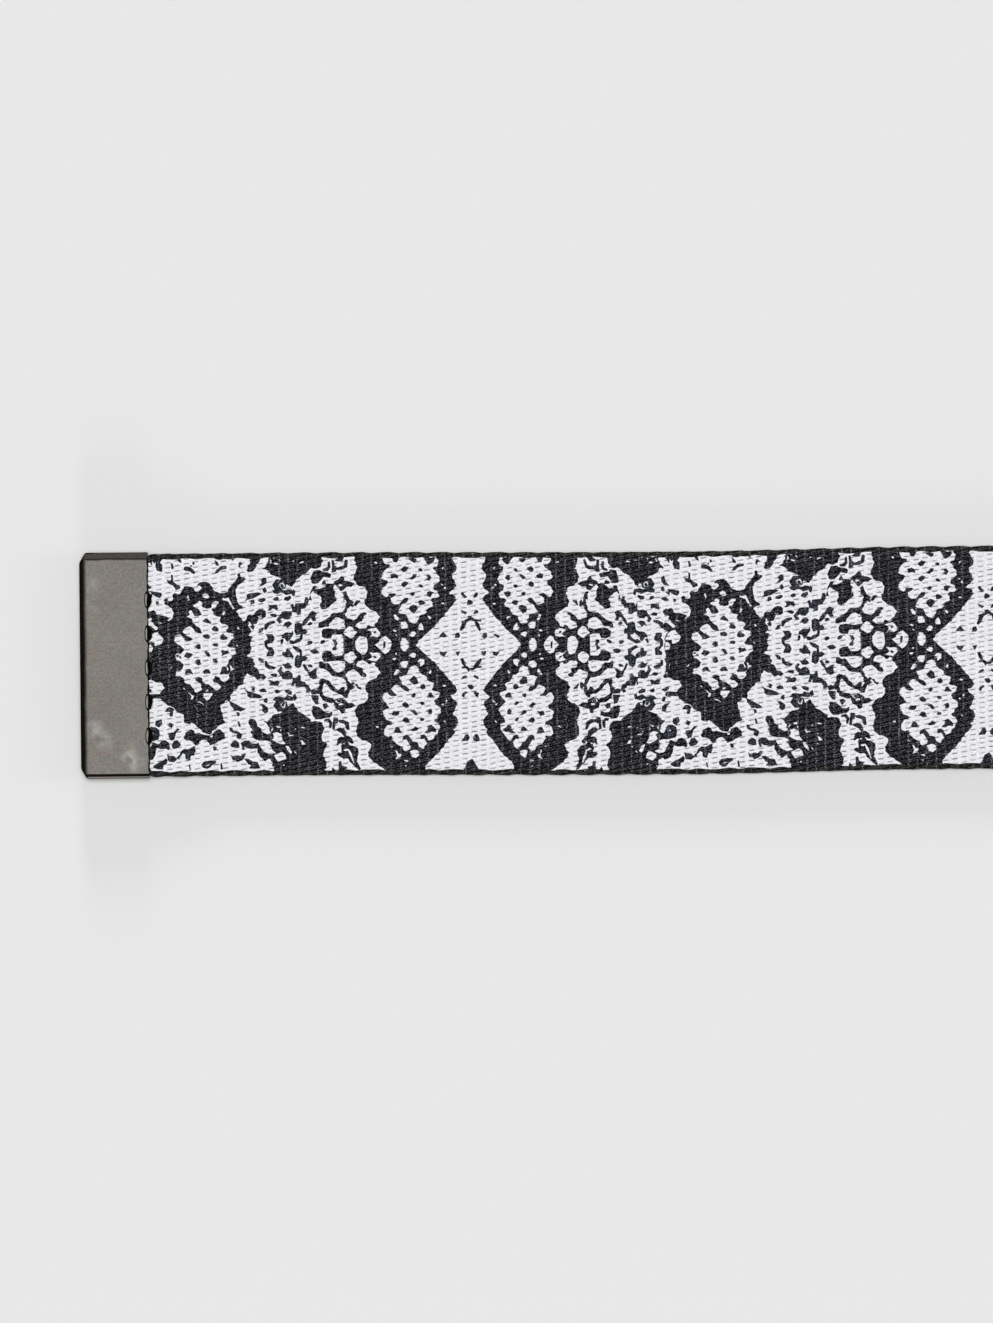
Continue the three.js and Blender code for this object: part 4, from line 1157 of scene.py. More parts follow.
def repeat_along(strap, plan):
    """Lay copies of the repeat end to end, join them and trim them to the strap's length."""
    first = strap.verts[:] + strap.edges[:] + strap.faces[:]
    for number in range(1, math.ceil((plan.end - plan.start) / PRINT_REPEAT)):
        copy = bmesh.ops.duplicate(strap, geom=first)["geom"]
        moved = [item for item in copy if isinstance(item, bmesh.types.BMVert)]
        bmesh.ops.translate(strap, vec=(number * PRINT_REPEAT, 0, 0), verts=moved)
    seams = [vert for vert in strap.verts if vert.is_boundary]
    bmesh.ops.remove_doubles(strap, verts=seams, dist=SEAM_WITHIN)
    cut_flat(strap, (plan.end, 0, 0), ALONG_STRAP, drop_beyond=True)


def edge_rings(plan):
    """Yield the rounded edge's points after the face's border: across, height and run from it."""
    radius = plan.edge
    border_turn = math.asin((plan.face_half - plan.edge_middle) / radius)
    straight = plan.thickness - 2 * radius
    for turn, below in EDGE_TURNS:
        angle = math.radians(turn)
        across = plan.edge_middle + radius * math.sin(angle)
        height = radius + straight * (1 - below) + radius * math.cos(angle)
        run = (angle - border_turn) * radius + straight * below
        yield across, height, run


def roll_edge(strap, side, plan, runs):
    """Extrude one long border round the strap's edge and return the last ring's edges."""
    ring = [edge for edge in strap.edges if edge.is_boundary and on_border(edge, side, plan)]
    for across, height, run in edge_rings(plan):
        made = bmesh.ops.extrude_edge_only(strap, edges=ring)["geom"]
        new_verts = {item for item in made if isinstance(item, bmesh.types.BMVert)}
        ring = [
            item for item in made
            if isinstance(item, bmesh.types.BMEdge) and new_verts.issuperset(item.verts)
        ]
        waves = EDGE_WAVES if across > plan.edge_middle + plan.edge / 2 else ()
        for vert in new_verts:
            ripple = waves_at(vert.co.x + side * SELVEDGE_SHIFT, waves)
            vert.co.y = side * (across + ripple)
            vert.co.z = height
            vert[runs] = side * (plan.face_half + run)
        for item in made:
            if isinstance(item, bmesh.types.BMFace):
                item.material_index = SELVEDGE
    return ring


def on_border(edge, side, plan):
    """Tell whether both ends of an edge lie on one long border of the face."""
    return all(abs(vert.co.y - side * plan.face_half) < SEAM_WITHIN for vert in edge.verts)


def face_height(across, plan):
    """Return the printed face's height, which falls off over the start of the rounded edge."""
    over = max(abs(across) - plan.edge_middle, 0)
    return plan.thickness - plan.edge + math.sqrt(plan.edge ** 2 - over ** 2)


def close_strap(strap, plan, runs):
    """Round both edges, then add the back and the two cut ends."""
    for vert in strap.verts:
        vert[runs] = vert.co.y
        vert.co.z = face_height(vert.co.y, plan)
    rings = roll_edge(strap, -1, plan, runs) + roll_edge(strap, 1, plan, runs)
    back = bmesh.ops.bridge_loops(strap, edges=rings)["faces"]
    ends = fill_holes(strap)
    for face in (*back, *ends):
        face.material_index = SELVEDGE
    bmesh.ops.triangulate(strap, faces=ends)
    bmesh.ops.recalc_face_normals(strap, faces=strap.faces)


def unfold(strap, plan, runs, bake_map):
    """Lay the strap out on its bake map: the face in rows, the back in coarser rows, then the ends."""
    length = plan.end - plan.start
    for rows in (FACE_ROWS, BACK_ROWS):
        for row in range(1, rows):
            cut_flat(strap, (plan.start + length * row / rows, 0, 0), ALONG_STRAP)
    face_run = max(abs(vert[runs]) for vert in strap.verts)
    face_row = 2 * face_run * FACE_SCALE[1] + ROW_GAP
    back_start = FACE_ROWS * face_row
    back_row = 2 * plan.half * BACK_SCALE[1] + ROW_GAP
    for face in strap.faces:
        middle = face.calc_center_median()
        share = (middle.x - plan.start) / length
        if abs(face.normal.x) > END_FACING:
            for loop in face.loops:
                across = (loop.vert.co.y + plan.half) * FACE_SCALE[1] + round(share) * face_row
                loop[bake_map].uv = (END_ISLAND + loop.vert.co.z * FACE_SCALE[1], ROW_GAP + across)
            continue
        is_back = face.normal.z < -SQUARE_ON
        rows, scale = (BACK_ROWS, BACK_SCALE) if is_back else (FACE_ROWS, FACE_SCALE)
        row = int(share * rows)
        for loop in face.loops:
            along = loop.vert.co.x - plan.start - length * row / rows
            if is_back:
                across = (loop.vert.co.y + plan.half) * scale[1] + back_start + row * back_row
            else:
                across = (loop.vert[runs] + face_run) * scale[1] + row * face_row
            loop[bake_map].uv = (ROW_GAP + along * scale[0], ROW_GAP + across)


def settle_strap(strap, plan):
    """Narrow the strap into the tip, lift it into both fittings and bow it slightly sideways."""
    pinched = plan.tip_half / plan.half
    for vert in strap.verts:
        along = vert.co.x
        release = smooth_step(plan.tip_mouth - PINCH_START, plan.tip_mouth + plan.pinch_release, along)
        lowered = smooth_step(plan.tip_mouth, plan.tip_mouth + plan.tip_ramp, along)
        lifted = smooth_step(plan.buckle_mouth - plan.buckle_ramp, plan.buckle_mouth, along)
        reach = BOW_REACH_TO_TIP if along < plan.bow_centre else BOW_REACH_TO_BUCKLE
        away = min(abs(along - plan.bow_centre) / reach, 1)
        vert.co.y *= pinched + (1 - pinched) * release
        vert.co.y -= plan.bow * (1 + math.cos(math.pi * away)) / 2
        vert.co.z += plan.tip_lift * (1 - lowered)
        vert.co.z += plan.buckle_lift * lifted


def store_inks(strap):
    """Keep each face's ink as an attribute, since the whole strap has one material."""
    inks = strap.faces.layers.float.new("ink")
    for face in strap.faces:
        face[inks] = face.material_index
        face.material_index = 0
        face.smooth = True


def strap_mesh(plan):
    """Model the printed strap, flat and then settled into its place."""
    strap = print_repeat_mesh(plan)
    runs = strap.verts.layers.float.new("run")
    bake_map = strap.loops.layers.uv.new("OFBake")
    repeat_along(strap, plan)
    close_strap(strap, plan, runs)
    unfold(strap, plan, runs, bake_map)
    settle_strap(strap, plan)
    store_inks(strap)
    return strap


def from_teeth(tree, across, from_mouth, half, reach):
    """Return how far a place lies from the nearest tooth's middle, where 1 is on its outline."""
    pitch = TOOTH_PITCH * MM
    from_middle = maths(tree, "SUBTRACT", across, TOOTH_MIDDLE * MM)
    to_tooth = maths(tree, "WRAP", from_middle, pitch / 2, -pitch / 2)
    far_across = maths(tree, "DIVIDE", to_tooth, half * MM)
    far_along = maths(tree, "DIVIDE", from_mouth, reach * MM)
    offset = add_node(tree, "CombineXYZ", {0: far_along, 1: far_across}).outputs[0]
    far = vectors(tree, "LENGTH", offset)["Value"]
    from_middle = maths(tree, "ABSOLUTE", from_middle)
    past_teeth = maths(tree, "GREATER_THAN", from_middle, pitch * TOOTH_COUNT / 2)
    return maths(tree, "ADD", far, maths(tree, "MULTIPLY", past_teeth, FAR_FROM_TEETH))


def mouth_shadow(tree, place):
    """Return where painted shadow blackens the strap: along the tip's mouth and where the crimping teeth
    press it.
    """
    spot = coordinates(tree, place)
    from_mouth = maths(tree, "SUBTRACT", spot["X"], TIP_HIGH.x - RIM_INSET * MM)
    drift = wander(tree, place, scale=1400, detail=1, reach=MOUTH_WANDER * MM)
    from_mouth = maths(tree, "ADD", from_mouth, drift)
    line = ramp(tree, from_mouth, *in_metres(MOUTH_FADE))
    far = from_teeth(tree, spot["Y"], from_mouth, TOOTH_SHADOW_HALF, TOOTH_SHADOW_REACH)
    return maths(tree, "MAXIMUM", line, ramp(tree, far, *TOOTH_SHADOW_FADE))


def wear_and_sheen_share(tree, weave, grain):
    """Return how much the print lightens with yarn showing through and painted sheen: in specks, on the
    ribs and most on the crests.
    """
    plies = maths(tree, "MULTIPLY_ADD", weave["Ply"], *PLY_SHARE)
    on_ribs = maths(tree, "MULTIPLY", plies, weave["Rib"])
    # Crests lighter in patches: worn yarn and painted sheen.
    rubbed = maths(tree, "MULTIPLY", weave["Crest"], grain["Patch"])
    on_ribs = maths(tree, "MULTIPLY", on_ribs, maths(tree, "MULTIPLY_ADD", rubbed, *CREST_SHARE))
    speck = ramp(tree, grain["Height"], *SPECK_RAMP)
    return maths(tree, "MULTIPLY", on_ribs, maths(tree, "MULTIPLY_ADD", speck, *SPECK_SHARE))


def webbing_material():
    """Make the printed webbing: white yarn, black print and dark edges on one weave, with painted shade
    in its thread gaps, painted sheen on its crests and painted shadow at the tip's mouth.
    """
    colours = bpy.context.scene.belt_colours
    sizes = bpy.context.scene.belt_sizes
    material, shader = new_material("printed_webbing")
    tree = material.node_tree
    place = add_node(tree, "TexCoord").outputs["Object"]
    ink = add_node(tree, "Attribute", attribute_name="ink").outputs["Fac"]
    weave = use_group(tree, shared_group("webbing_weave", weave_group), {
        "Position": place, "Column Pitch": sizes.column_pitch, "Thread Pitch": sizes.thread_pitch,
    })
    grain = use_group(tree, shared_group("fine_grain", grain_group), {
        "Position": place, "Scale": 4600.0, "Patches": 260.0, "Stretch": (1, 1.4, 1),
    })
    # Painted shade in the gaps between the threads, on yarn flecked in tone.
    shade = maths(tree, "MULTIPLY_ADD", weave["Gap"], -GAP_SHADE, 1)
    fleck = maths(tree, "MULTIPLY_ADD", grain["Tone"], *FLECK_SHARE)
    tone = maths(tree, "MULTIPLY", shade, fleck)
    colour = blend(tree, 1.0, opaque(colours.yarn), tone, "MULTIPLY")
    # Where the print lightens with worn yarn and painted sheen on its threads.
    wear_and_sheen = wear_and_sheen_share(tree, weave, grain)
    thin_wear_and_sheen = maths(tree, "MULTIPLY_ADD", wear_and_sheen, *THIN_SHARE)
    inks = (
        (BLACK_PRINT, wear_and_sheen, colours.print_wear_and_sheen),
        (THIN_PRINT, thin_wear_and_sheen, colours.thin_print),
        (SELVEDGE, wear_and_sheen, colours.selvedge),
    )
    for number, wear, yarn in inks:
        inked = blend(tree, wear, opaque(colours.print_ink), opaque(yarn))
        colour = blend(tree, maths(tree, "COMPARE", ink, number, 0.5), colour, inked)
    # Painted shadow, near black, along the gap at the tip's mouth and under its crimping teeth.
    colour = blend(tree, mouth_shadow(tree, place), colour, grey(MOUTH_SHADOW_TONE))
    tree.links.new(colour, shader.inputs["Base Color"])
    shader.inputs["Roughness"].default_value = 0.85
    shader.inputs["Specular IOR Level"].default_value = 0.015
    grains = maths(tree, "MULTIPLY", grain["Height"], GRAIN_RELIEF)
    relief = maths(tree, "ADD", weave["Height"], grains)
    bump = add_node(tree, "Bump", {"Height": relief, "Strength": 0.6, "Distance": 0.00012})
    tree.links.new(bump.outputs[0], shader.inputs["Normal"])
    return material


def rounded_shading(mesh_data):
    """Shade a metal piece smooth, apart from its sharp edges."""
    for face in mesh_data.faces:
        face.smooth = True
    for edge in mesh_data.edges:
        edge.smooth = edge.calc_face_angle(0) < SHARP_FROM


def even_normals(piece):
    """Keep the flat faces flat where they meet a rounded edge."""
    even = piece.modifiers.new("Even Normals", "WEIGHTED_NORMAL")
    even.keep_sharp = True


def box_between(mesh_data, low, high):
    """Add a box between two corners."""
    middle = Matrix.Translation((low + high) / 2)
    stretch = Matrix.Diagonal((*(high - low), 1))
    bmesh.ops.create_cube(mesh_data, size=1, matrix=middle @ stretch)


def round_edges(mesh_data, chosen, radius, segments):
    """Round the chosen edges."""
    bmesh.ops.bevel(
        mesh_data, geom=chosen, offset=radius, offset_type="OFFSET", segments=segments, profile=0.5,
        affect="EDGES", clamp_overlap=True, material=-1,
    )


def edges_where(mesh_data, test):
    """Return the edges whose two ends both pass a test."""
    return [edge for edge in mesh_data.edges if all(test(vert.co) for vert in edge.verts)]


def upright_edges(mesh_data, test=lambda place: True):
    """Return the upright edges whose middle passes a test."""
    chosen = []
    for edge in mesh_data.edges:
        first, second = (vert.co for vert in edge.verts)
        if abs((first - second).normalized().z) > SQUARE_ON and test((first + second) / 2):
            chosen.append(edge)
    return chosen


def clip_corner(mesh_data, low, high, side):
    """Clip one of the tip's two outer corners."""
    corner = (low.x + CLIP_ALONG, side * high.y, 0)
    cut_flat(mesh_data, corner, (-CLIP_ACROSS, side * CLIP_ALONG, 0), drop_beyond=True)
    fill_holes(mesh_data)


def rim_dent(across):
    """Return how far the crimped mouth's edge wanders along the strap at one place across it."""
    waves = (math.sin(across * pitch + phase) * height for pitch, phase, height in RIM_WAVES)
    return sum(waves)


def tooth_drop(place, high):
    """Return how far the crimping teeth press the face down at one place near its mouth."""
    from_middle = place.y - TOOTH_MIDDLE
    number = min(max(round(from_middle / TOOTH_PITCH), -(TOOTH_COUNT // 2)), TOOTH_COUNT // 2)
    off_middle = (from_middle - number * TOOTH_PITCH) / TOOTH_HALF
    if abs(off_middle) >= 1:
        return 0
    start = high.x - RIM_INSET - TOOTH_REACH * math.sqrt(1 - off_middle ** 2)
    return TOOTH_DROP * smooth_step(start - TOOTH_BEND, start + TOOTH_BEND, place.x)


def tip_cuts(low, high):
    """Yield the planes that cut the tip fine enough for its rim and its teeth."""
    for cut in range(1, RIM_CUTS):
        yield (0, low.y + (high.y - low.y) * cut / RIM_CUTS, 0), ACROSS_STRAP
    for cut in range(1, TOOTH_CUTS):
        yield (high.x - RIM_INSET - TOOTH_REACH * cut / (TOOTH_CUTS - 2), 0, 0), ALONG_STRAP


def tip_mesh():
    """Model the tip: sheet metal folded over the strap's end, open at its mouth."""
    sizes = bpy.context.scene.belt_sizes
    low = TIP_LOW / MM
    high = TIP_HIGH / MM
    sheet = in_mm(sizes.tip_sheet)
    bend = in_mm(sizes.tip_bend)
    tip = bmesh.new()
    box_between(tip, low, high)
    for side in (-1, 1):
        clip_corner(tip, low, high, side)
    folds = upright_edges(tip, lambda place: place.x < high.x - NEAR)
    round_edges(tip, folds, FOLD_CORNER, FOLD_SEGMENTS)
    for level, radius in ((high.z, bend), (low.z, bend * BACK_BEND)):
        at_level = edges_where(tip, lambda place: abs(place.z - level) < NEAR)
        bends = [edge for edge in at_level if not across_mouth(edge, high)]
        round_edges(tip, bends, radius, BEND_SEGMENTS)
    mouth = [face for face in tip.faces if face.normal.x > SQUARE_ON]
    bmesh.ops.delete(tip, geom=mouth, context="FACES")
    for place, normal in tip_cuts(low, high):
        cut_flat(tip, place, normal)
    bmesh.ops.solidify(tip, geom=tip.faces, thickness=sheet)
    bmesh.ops.recalc_face_normals(tip, faces=tip.faces)
    rim = edges_where(tip, lambda place: place.x > high.x - NEAR)
    rim = [edge for edge in rim if edge.calc_face_angle(0) > SHARP_FROM]
    round_edges(tip, rim, RIM_EDGE, RIM_SEGMENTS)
    for vert in tip.verts:
        near_rim = smooth_step(high.x - sheet, high.x, vert.co.x)
        if near_rim and abs(vert.co.y) < high.y - bend:
            vert.co.x -= near_rim * (RIM_INSET + rim_dent(vert.co.y))
        if vert.co.z > high.z / 2:
            vert.co.z -= tooth_drop(vert.co, high)
    rounded_shading(tip)
    return tip


def across_mouth(edge, high):
    """Tell whether an edge runs across the tip's mouth."""
    return all(vert.co.x > high.x - NEAR for vert in edge.verts)


def subtract(mesh_data, low, high):
    """Cut a box out of a mesh and return what is left."""
    cutter = bmesh.new()
    box_between(cutter, low, high)
    body = add_object("cut_from", mesh_data)
    tool = add_object("cutter", cutter)
    cut = body.modifiers.new("Cut", "BOOLEAN")
    cut.operation = "DIFFERENCE"
    cut.solver = "EXACT"
    cut.object = tool
    evaluated = body.evaluated_get(bpy.context.evaluated_depsgraph_get())
    left = bmesh.new()
    left.from_mesh(evaluated.to_mesh())
    evaluated.to_mesh_clear()
    for used in (body, tool):
        mesh = used.data
        bpy.data.objects.remove(used)
        bpy.data.meshes.remove(mesh)
    return left


def buckle_mesh():
    """Model the buckle: a rounded metal sleeve with a slot for the strap and a channel over it."""
    sizes = bpy.context.scene.belt_sizes
    low = BUCKLE_LOW / MM
    high = BUCKLE_HIGH / MM
    sheet = in_mm(sizes.buckle_sheet)
    buckle = bmesh.new()
    box_between(buckle, low, high)
    round_edges(buckle, upright_edges(buckle), in_mm(sizes.buckle_corner), CORNER_SEGMENTS)
    for level in (high.z, low.z):
        rim = edges_where(buckle, lambda place: abs(place.z - level) < NEAR)
        round_edges(buckle, rim, in_mm(sizes.buckle_edge), BEND_SEGMENTS)
    inner = high.y - in_mm(sizes.buckle_side)
    floor = low.z + sheet
    ceiling = high.z - sheet
    jaw_top = ceiling - CHANNEL_HEIGHT
    jaw_end = low.x + JAW_LENGTH
    openings = (
        ((low.x - CUT_PAST, -inner, jaw_top), (high.x + CUT_PAST, inner, ceiling)),
        ((jaw_end, -inner, floor), (high.x + CUT_PAST, inner, ceiling)),
        ((low.x - CUT_PAST, -inner, floor), (jaw_end + CUT_PAST, inner, jaw_top - JAW_THICKNESS)),
    )
    for near_corner, far_corner in openings:
        buckle = subtract(buckle, Vector(near_corner), Vector(far_corner))
    bmesh.ops.remove_doubles(buckle, verts=buckle.verts, dist=MERGE_WITHIN)
    bmesh.ops.dissolve_limit(
        buckle, angle_limit=BUCKLE_FLAT_WITHIN, verts=buckle.verts, edges=buckle.edges,
    )
    sharp = [edge for edge in buckle.edges if edge.calc_face_angle(0) > BUCKLE_SHARP_FROM]
    round_edges(buckle, sharp, MOUTH_EDGE, RIM_SEGMENTS)
    rounded_shading(buckle)
    return buckle


def between(tree, value, low, high, soft):
    """Return 1 where a value lies between two others, with soft ends."""
    above = ramp(tree, value, low - soft, low + soft)
    return maths(tree, "MULTIPLY", above, ramp(tree, value, high + soft, high - soft))


def at_height(tree, spot, shares):
    """Rise from 0 to 1 between two heights, given as shares of the tip's own."""
    return ramp(tree, spot["Z"], *(TIP_HIGH.z * share for share in shares))


def bend_shade_and_lip_highlight(tree, place):
    """Return the painted shade on the tip's bends, as if they mirrored dark surroundings, and where a
    painted highlight brightens its lower lip.
    """
    spot = coordinates(tree, place)
    drift = wander(tree, place, scale=260, detail=2, reach=BAND_WANDER * MM)
    from_end = maths(tree, "ADD", drift, maths(tree, "SUBTRACT", spot["X"], TIP_LOW.x))
    from_top = maths(tree, "ADD", drift, maths(tree, "SUBTRACT", TIP_HIGH.y, spot["Y"]))
    from_bottom = maths(tree, "SUBTRACT", spot["Y"], TIP_LOW.y)
    upper_band = ramp(tree, from_top, *in_metres(UPPER_BAND))
    upper_line = between(tree, from_top, *in_metres(UPPER_LINE))
    corner_line = ramp(tree, from_top, *in_metres(CORNER_LINE))
    near_corner = ramp(tree, from_end, *in_metres(CORNER_LENGTH))
    layers = (
        maths(tree, "MULTIPLY", upper_band, UPPER_BAND_SHARE),
        maths(tree, "MULTIPLY", upper_line, UPPER_LINE_SHARE),
        maths(tree, "MULTIPLY", corner_line, near_corner),
        between(tree, from_bottom, *in_metres(LOWER_LINE)),
    )
    # Painted shade: the band at the end, then the bands and lines along the long sides.
    painted_shade = ramp(tree, from_end, *in_metres(END_BAND))
    for layer in layers:
        painted_shade = maths(tree, "MAXIMUM", painted_shade, layer)
    painted_shade = maths(tree, "MULTIPLY", painted_shade, at_height(tree, spot, RAISED_SHARES))
    return painted_shade, ramp(tree, from_bottom, *in_metres(LOWER_LIP))


def tooth_shade_and_highlight(tree, place):
    """Return painted shade along each crimping tooth's outline in the tip's face, and a painted
    highlight within it.
    """
    spot = coordinates(tree, place)
    to_rim = maths(tree, "SUBTRACT", TIP_HIGH.x - RIM_INSET * MM, spot["X"])
    far = from_teeth(tree, spot["Y"], to_rim, TOOTH_HALF, TOOTH_REACH)
    on_top = at_height(tree, spot, TOP_SHARES)
    # Painted shade along the tooth's outline.
    outline = between(tree, far, *TOOTH_LINE)
    shine = between(tree, to_rim, *in_metres(TOOTH_SHINE))
    # Painted highlight inside the tooth.
    tooth_highlight = maths(tree, "MULTIPLY", shine, ramp(tree, far, *SHINE_WITHIN))
    return maths(tree, "MULTIPLY", outline, on_top), maths(tree, "MULTIPLY", tooth_highlight, on_top)


def smudges(tree, place):
    """Return where handling has left pale smudges on the tip's face."""
    drift = noise(tree, place, scale=420, detail=3)
    shift = vectors(tree, "SUBTRACT", drift["Color"], (0.5, 0.5, 0.5))[0]
    shift = vectors(tree, "MULTIPLY", shift, in_metres([SMUDGE_DRIFT] * 3))[0]
    shifted = vectors(tree, "ADD", place, shift)[0]
    total = 0.0
    for along, across, reach, strength in SMUDGES:
        middle = (TIP_LOW.x + along * MM, across * MM, TIP_HIGH.z)
        distance = vectors(tree, "DISTANCE", shifted, middle)["Value"]
        mark = maths(tree, "MULTIPLY", ramp(tree, distance, reach * MM, 0), strength)
        total = maths(tree, "ADD", total, mark)
    return maths(tree, "MULTIPLY", total, ramp(tree, drift[0], *SMUDGE_BREAKS))


def metal_material(name, patches, is_tip=False):
    """Make satin gunmetal, mottled by handling: the buckle rubbed bright along its edges, the tip with
    painted shade on its bends and teeth and painted highlights on its lip and teeth.
    """
    colours = bpy.context.scene.belt_colours
    material, shader = new_material(name)
    tree = material.node_tree
    place = add_node(tree, "TexCoord").outputs["Object"]
    grain = use_group(tree, shared_group("fine_grain", grain_group), {
        "Position": place, "Scale": 2600.0, "Patches": patches,
    })
    hue = noise(tree, place, scale=1100, detail=2)["Color"]
    tint = blend(tree, HUE_SHARE, opaque(colours.metal), hue, "OVERLAY")
    fine_tone = maths(tree, "MULTIPLY_ADD", grain["Tone"], *METAL_TONE_SHARE)
    patch_tone = maths(tree, "MULTIPLY", grain["Patch"], METAL_PATCH_SHARE)
    tone = maths(tree, "ADD", fine_tone, patch_tone)
    base = blend(tree, 1.0, tint, tone, "MULTIPLY")
    shader.inputs["Metallic"].default_value = 1
    if is_tip:
        # Painted shade on the tip's bends and a painted highlight along its lower lip.
        painted_shade, lip_highlight = bend_shade_and_lip_highlight(tree, place)
        # Painted shade round the teeth and a painted highlight inside them.
        outline, tooth_highlight = tooth_shade_and_highlight(tree, place)
        painted_shade = maths(tree, "MAXIMUM", painted_shade, outline)
        lip_highlight = maths(tree, "MULTIPLY", lip_highlight, LIP_SHINE)
        tooth_highlight = maths(tree, "MULTIPLY", tooth_highlight, TOOTH_HIGHLIGHT_SHINE)
        base = blend(tree, smudges(tree, place), base, opaque(colours.smudge))
        # Painted highlight on the lower lip and inside the teeth.
        base = blend(tree, maths(tree, "MAXIMUM", lip_highlight, tooth_highlight), base, opaque(colours.metal_wear_and_highlight))
        # The painted shade is near black and not metallic.
        base = blend(tree, painted_shade, base, BEND_SHADE_COLOUR)
        tree.links.new(maths(tree, "SUBTRACT", 1.0, painted_shade), shader.inputs["Metallic"])
    else:
        wear = use_group(tree, shared_group("edge_wear", wear_group), {"Position": place})
        rubbed = maths(tree, "MULTIPLY", wear["Mask"], EDGE_SHINE)
        base = blend(tree, rubbed, base, opaque(colours.metal_wear_and_highlight))
    tree.links.new(base, shader.inputs["Base Color"])
    shader.inputs["Specular IOR Level"].default_value = 0
    rough = maths(tree, "MULTIPLY_ADD", grain["Patch"], *METAL_ROUGH_SHARE)
    tree.links.new(rough, shader.inputs["Roughness"])
    bump = add_node(tree, "Bump", {"Height": grain["Height"], "Strength": 0.25, "Distance": 0.00004})
    tree.links.new(bump.outputs[0], shader.inputs["Normal"])
    return material


def floor_piece():
    """Lay the pale floor under the belt."""
    colours = bpy.context.scene.belt_colours
    ground = bmesh.new()
    bmesh.ops.create_grid(ground, size=FLOOR_REACH, matrix=Matrix.Translation((0, 0, -FLOOR_DROP)))
    material, shader = new_material("pale_floor")
    shader.inputs["Base Color"].default_value = opaque(colours.floor)
    shader.inputs["Roughness"].default_value = 0.9
    shader.inputs["Specular IOR Level"].default_value = 0
    floor = add_object("floor", ground)
    floor.data.materials.append(material)


def add_light(name, strength, heading, elevation, softness):
    """Add a broad distant light that no metal mirrors, from one heading and height in degrees."""
    light = bpy.data.lights.new(name, "SUN")
    light.energy = strength
    light.angle = math.radians(softness)
    lamp = bpy.data.objects.new(name, light)
    bpy.context.scene.collection.objects.link(lamp)
    lamp.rotation_euler = (0, math.radians(90 - elevation), math.radians(heading))
    lamp.visible_glossy = False


def studio_world():
    """Make the surround: pale behind the belt, dim as light, and what the metal's bends mirror."""
    world = bpy.data.worlds.new("studio_surround")
    world.use_nodes = True
    tree = world.node_tree
    ray = add_node(tree, "LightPath").outputs
    direction = coordinates(tree, add_node(tree, "TexCoord").outputs["Generated"])
    height = ramp(tree, direction["Z"], 0.15, 0.75)
    behind = ramp(tree, direction["Y"], 0.2, 0.9)
    horizon = blend(tree, behind, grey(NEAR_MIRRORED), FAR_MIRRORED)
    mirrored = blend(tree, height, horizon, grey(TOP_MIRRORED))
    colour = blend(tree, ray["Is Glossy Ray"], grey(SURROUND_LIGHT), mirrored)
    colour = blend(tree, ray["Is Camera Ray"], colour, grey(BACKDROP))
    tree.links.new(colour, tree.nodes["Background"].inputs["Color"])
    bpy.context.scene.world = world


def overhead_camera():
    """Set the camera straight over the tip, turned as the belt lies in the picture."""
    studio = bpy.context.scene.studio_settings
    camera_data = bpy.data.cameras.new("overhead")
    camera_data.sensor_fit = "AUTO"
    camera_data.sensor_width = SENSOR
    camera_data.lens = SENSOR * studio.camera_height / studio.view_height
    camera = bpy.data.objects.new("overhead", camera_data)
    bpy.context.scene.collection.objects.link(camera)
    camera.location = (TIP_LOW.x + VIEW_ALONG, VIEW_ACROSS, studio.camera_height + STRAP_HIGH.z)
    camera.rotation_euler = (0, 0, studio.roll)
    bpy.context.scene.camera = camera


class WEBBELT_OT_add_stage(bpy.types.Operator):
    """Add the floor, the lights, the surround and the camera"""

    bl_idname = "web_belt.add_stage"
    bl_label = "Add Stage"

    def execute(self, context):
        studio = context.scene.studio_settings
        context.scene.view_settings.view_transform = "Standard"
        floor_piece()
        studio_world()
        overhead_camera()
        for name, placed in LIGHTS.items():
            add_light(name + "_light", getattr(studio, name + "_strength"), *placed)
        return {"FINISHED"}


class WEBBELT_OT_add_strap(bpy.types.Operator):
    """Add the printed webbing strap"""

    bl_idname = "web_belt.add_strap"
    bl_label = "Add Strap"

    def execute(self, context):
        plan = strap_plan()
        strap = finish_piece(
            "webbing_strap", strap_mesh(plan), webbing_material(), "strap"
        )
        return {"FINISHED"}


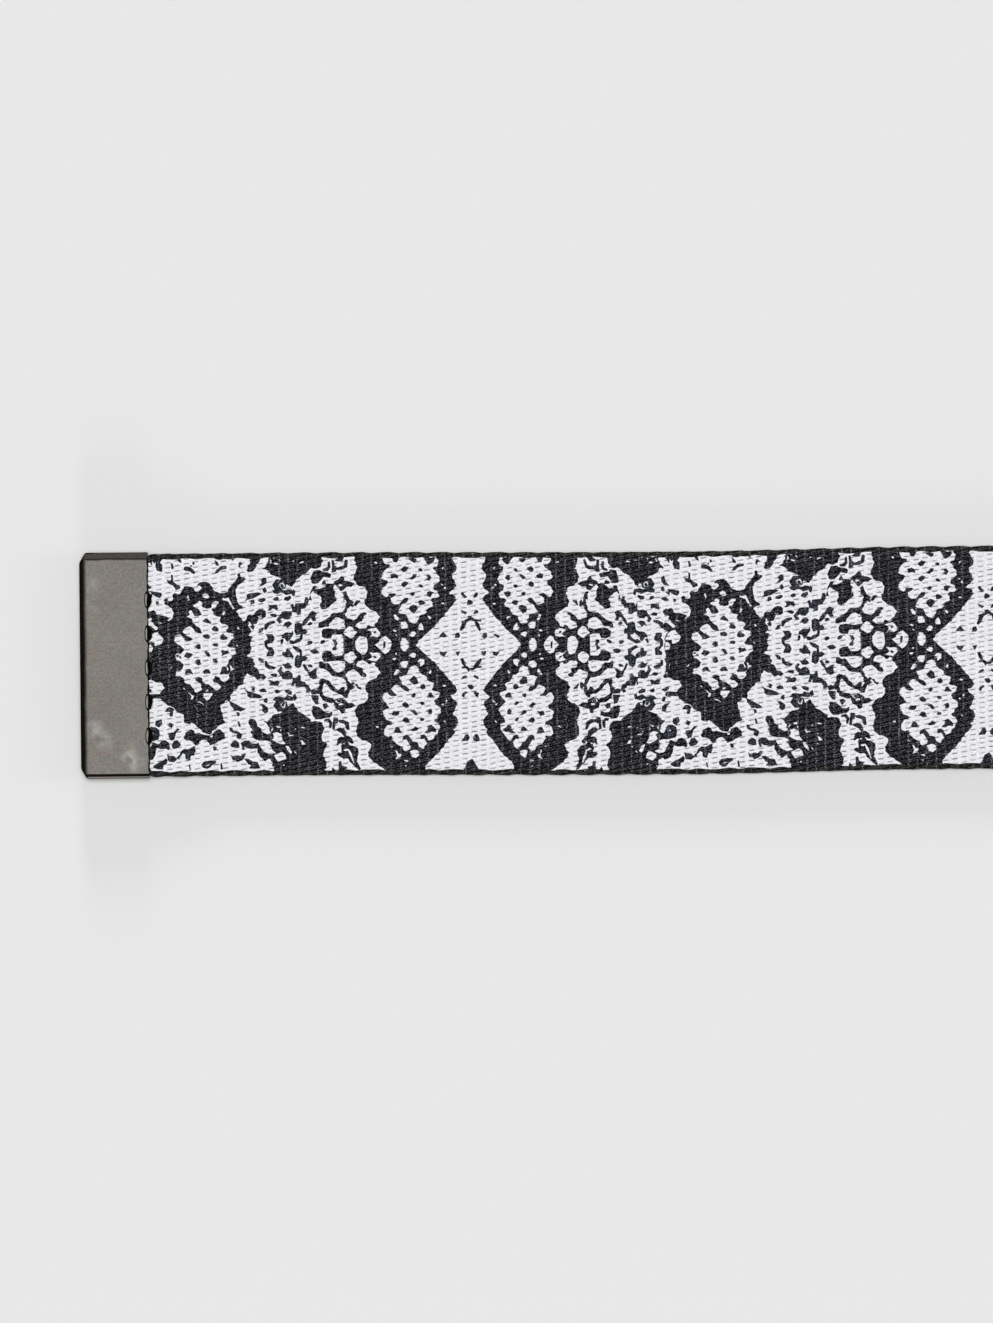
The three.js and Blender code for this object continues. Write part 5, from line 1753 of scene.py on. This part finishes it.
class WEBBELT_OT_add_tip(bpy.types.Operator):
    """Add the folded metal tip"""

    bl_idname = "web_belt.add_tip"
    bl_label = "Add Tip"

    def execute(self, context):
        material = metal_material("tip_gunmetal", 170.0, is_tip=True)
        even_normals(finish_piece("metal_tip", tip_mesh(), material, "belt_tip"))
        return {"FINISHED"}


class WEBBELT_OT_add_buckle(bpy.types.Operator):
    """Add the plain metal buckle"""

    bl_idname = "web_belt.add_buckle"
    bl_label = "Add Buckle"

    def execute(self, context):
        material = metal_material("buckle_gunmetal", 90.0)
        even_normals(finish_piece("clasp_buckle", buckle_mesh(), material, "buckle"))
        return {"FINISHED"}


class WEBBELT_PT_parts(bpy.types.Panel):
    """The belt's sizes, colours and pieces"""

    bl_label = "Web Belt"
    bl_idname = "WEBBELT_PT_parts"
    bl_space_type = "VIEW_3D"
    bl_region_type = "UI"
    bl_category = "Web Belt"

    def draw(self, context):
        scene = context.scene
        for settings in (scene.belt_sizes, scene.belt_colours, scene.studio_settings):
            box = self.layout.box()
            for name in settings.bl_rna.properties.keys():
                if name not in ("rna_type", "name"):
                    box.prop(settings, name)
        for operator in OPERATORS:
            self.layout.operator(operator.bl_idname)


OPERATORS = (WEBBELT_OT_add_stage, WEBBELT_OT_add_strap, WEBBELT_OT_add_tip, WEBBELT_OT_add_buckle)
CLASSES = (BeltSizes, BeltColours, StudioSettings, *OPERATORS, WEBBELT_PT_parts)


def register():
    for one_class in CLASSES:
        bpy.utils.register_class(one_class)
    bpy.types.Scene.belt_sizes = PointerProperty(type=BeltSizes)
    bpy.types.Scene.belt_colours = PointerProperty(type=BeltColours)
    bpy.types.Scene.studio_settings = PointerProperty(type=StudioSettings)


def unregister():
    del bpy.types.Scene.belt_sizes
    del bpy.types.Scene.belt_colours
    del bpy.types.Scene.studio_settings
    for one_class in reversed(CLASSES):
        bpy.utils.unregister_class(one_class)


def main():
    """Build the belt and its stage."""
    register()
    bpy.ops.web_belt.add_stage()
    bpy.ops.web_belt.add_strap()
    bpy.ops.web_belt.add_tip()
    bpy.ops.web_belt.add_buckle()


if __name__ == "__main__":
    main()
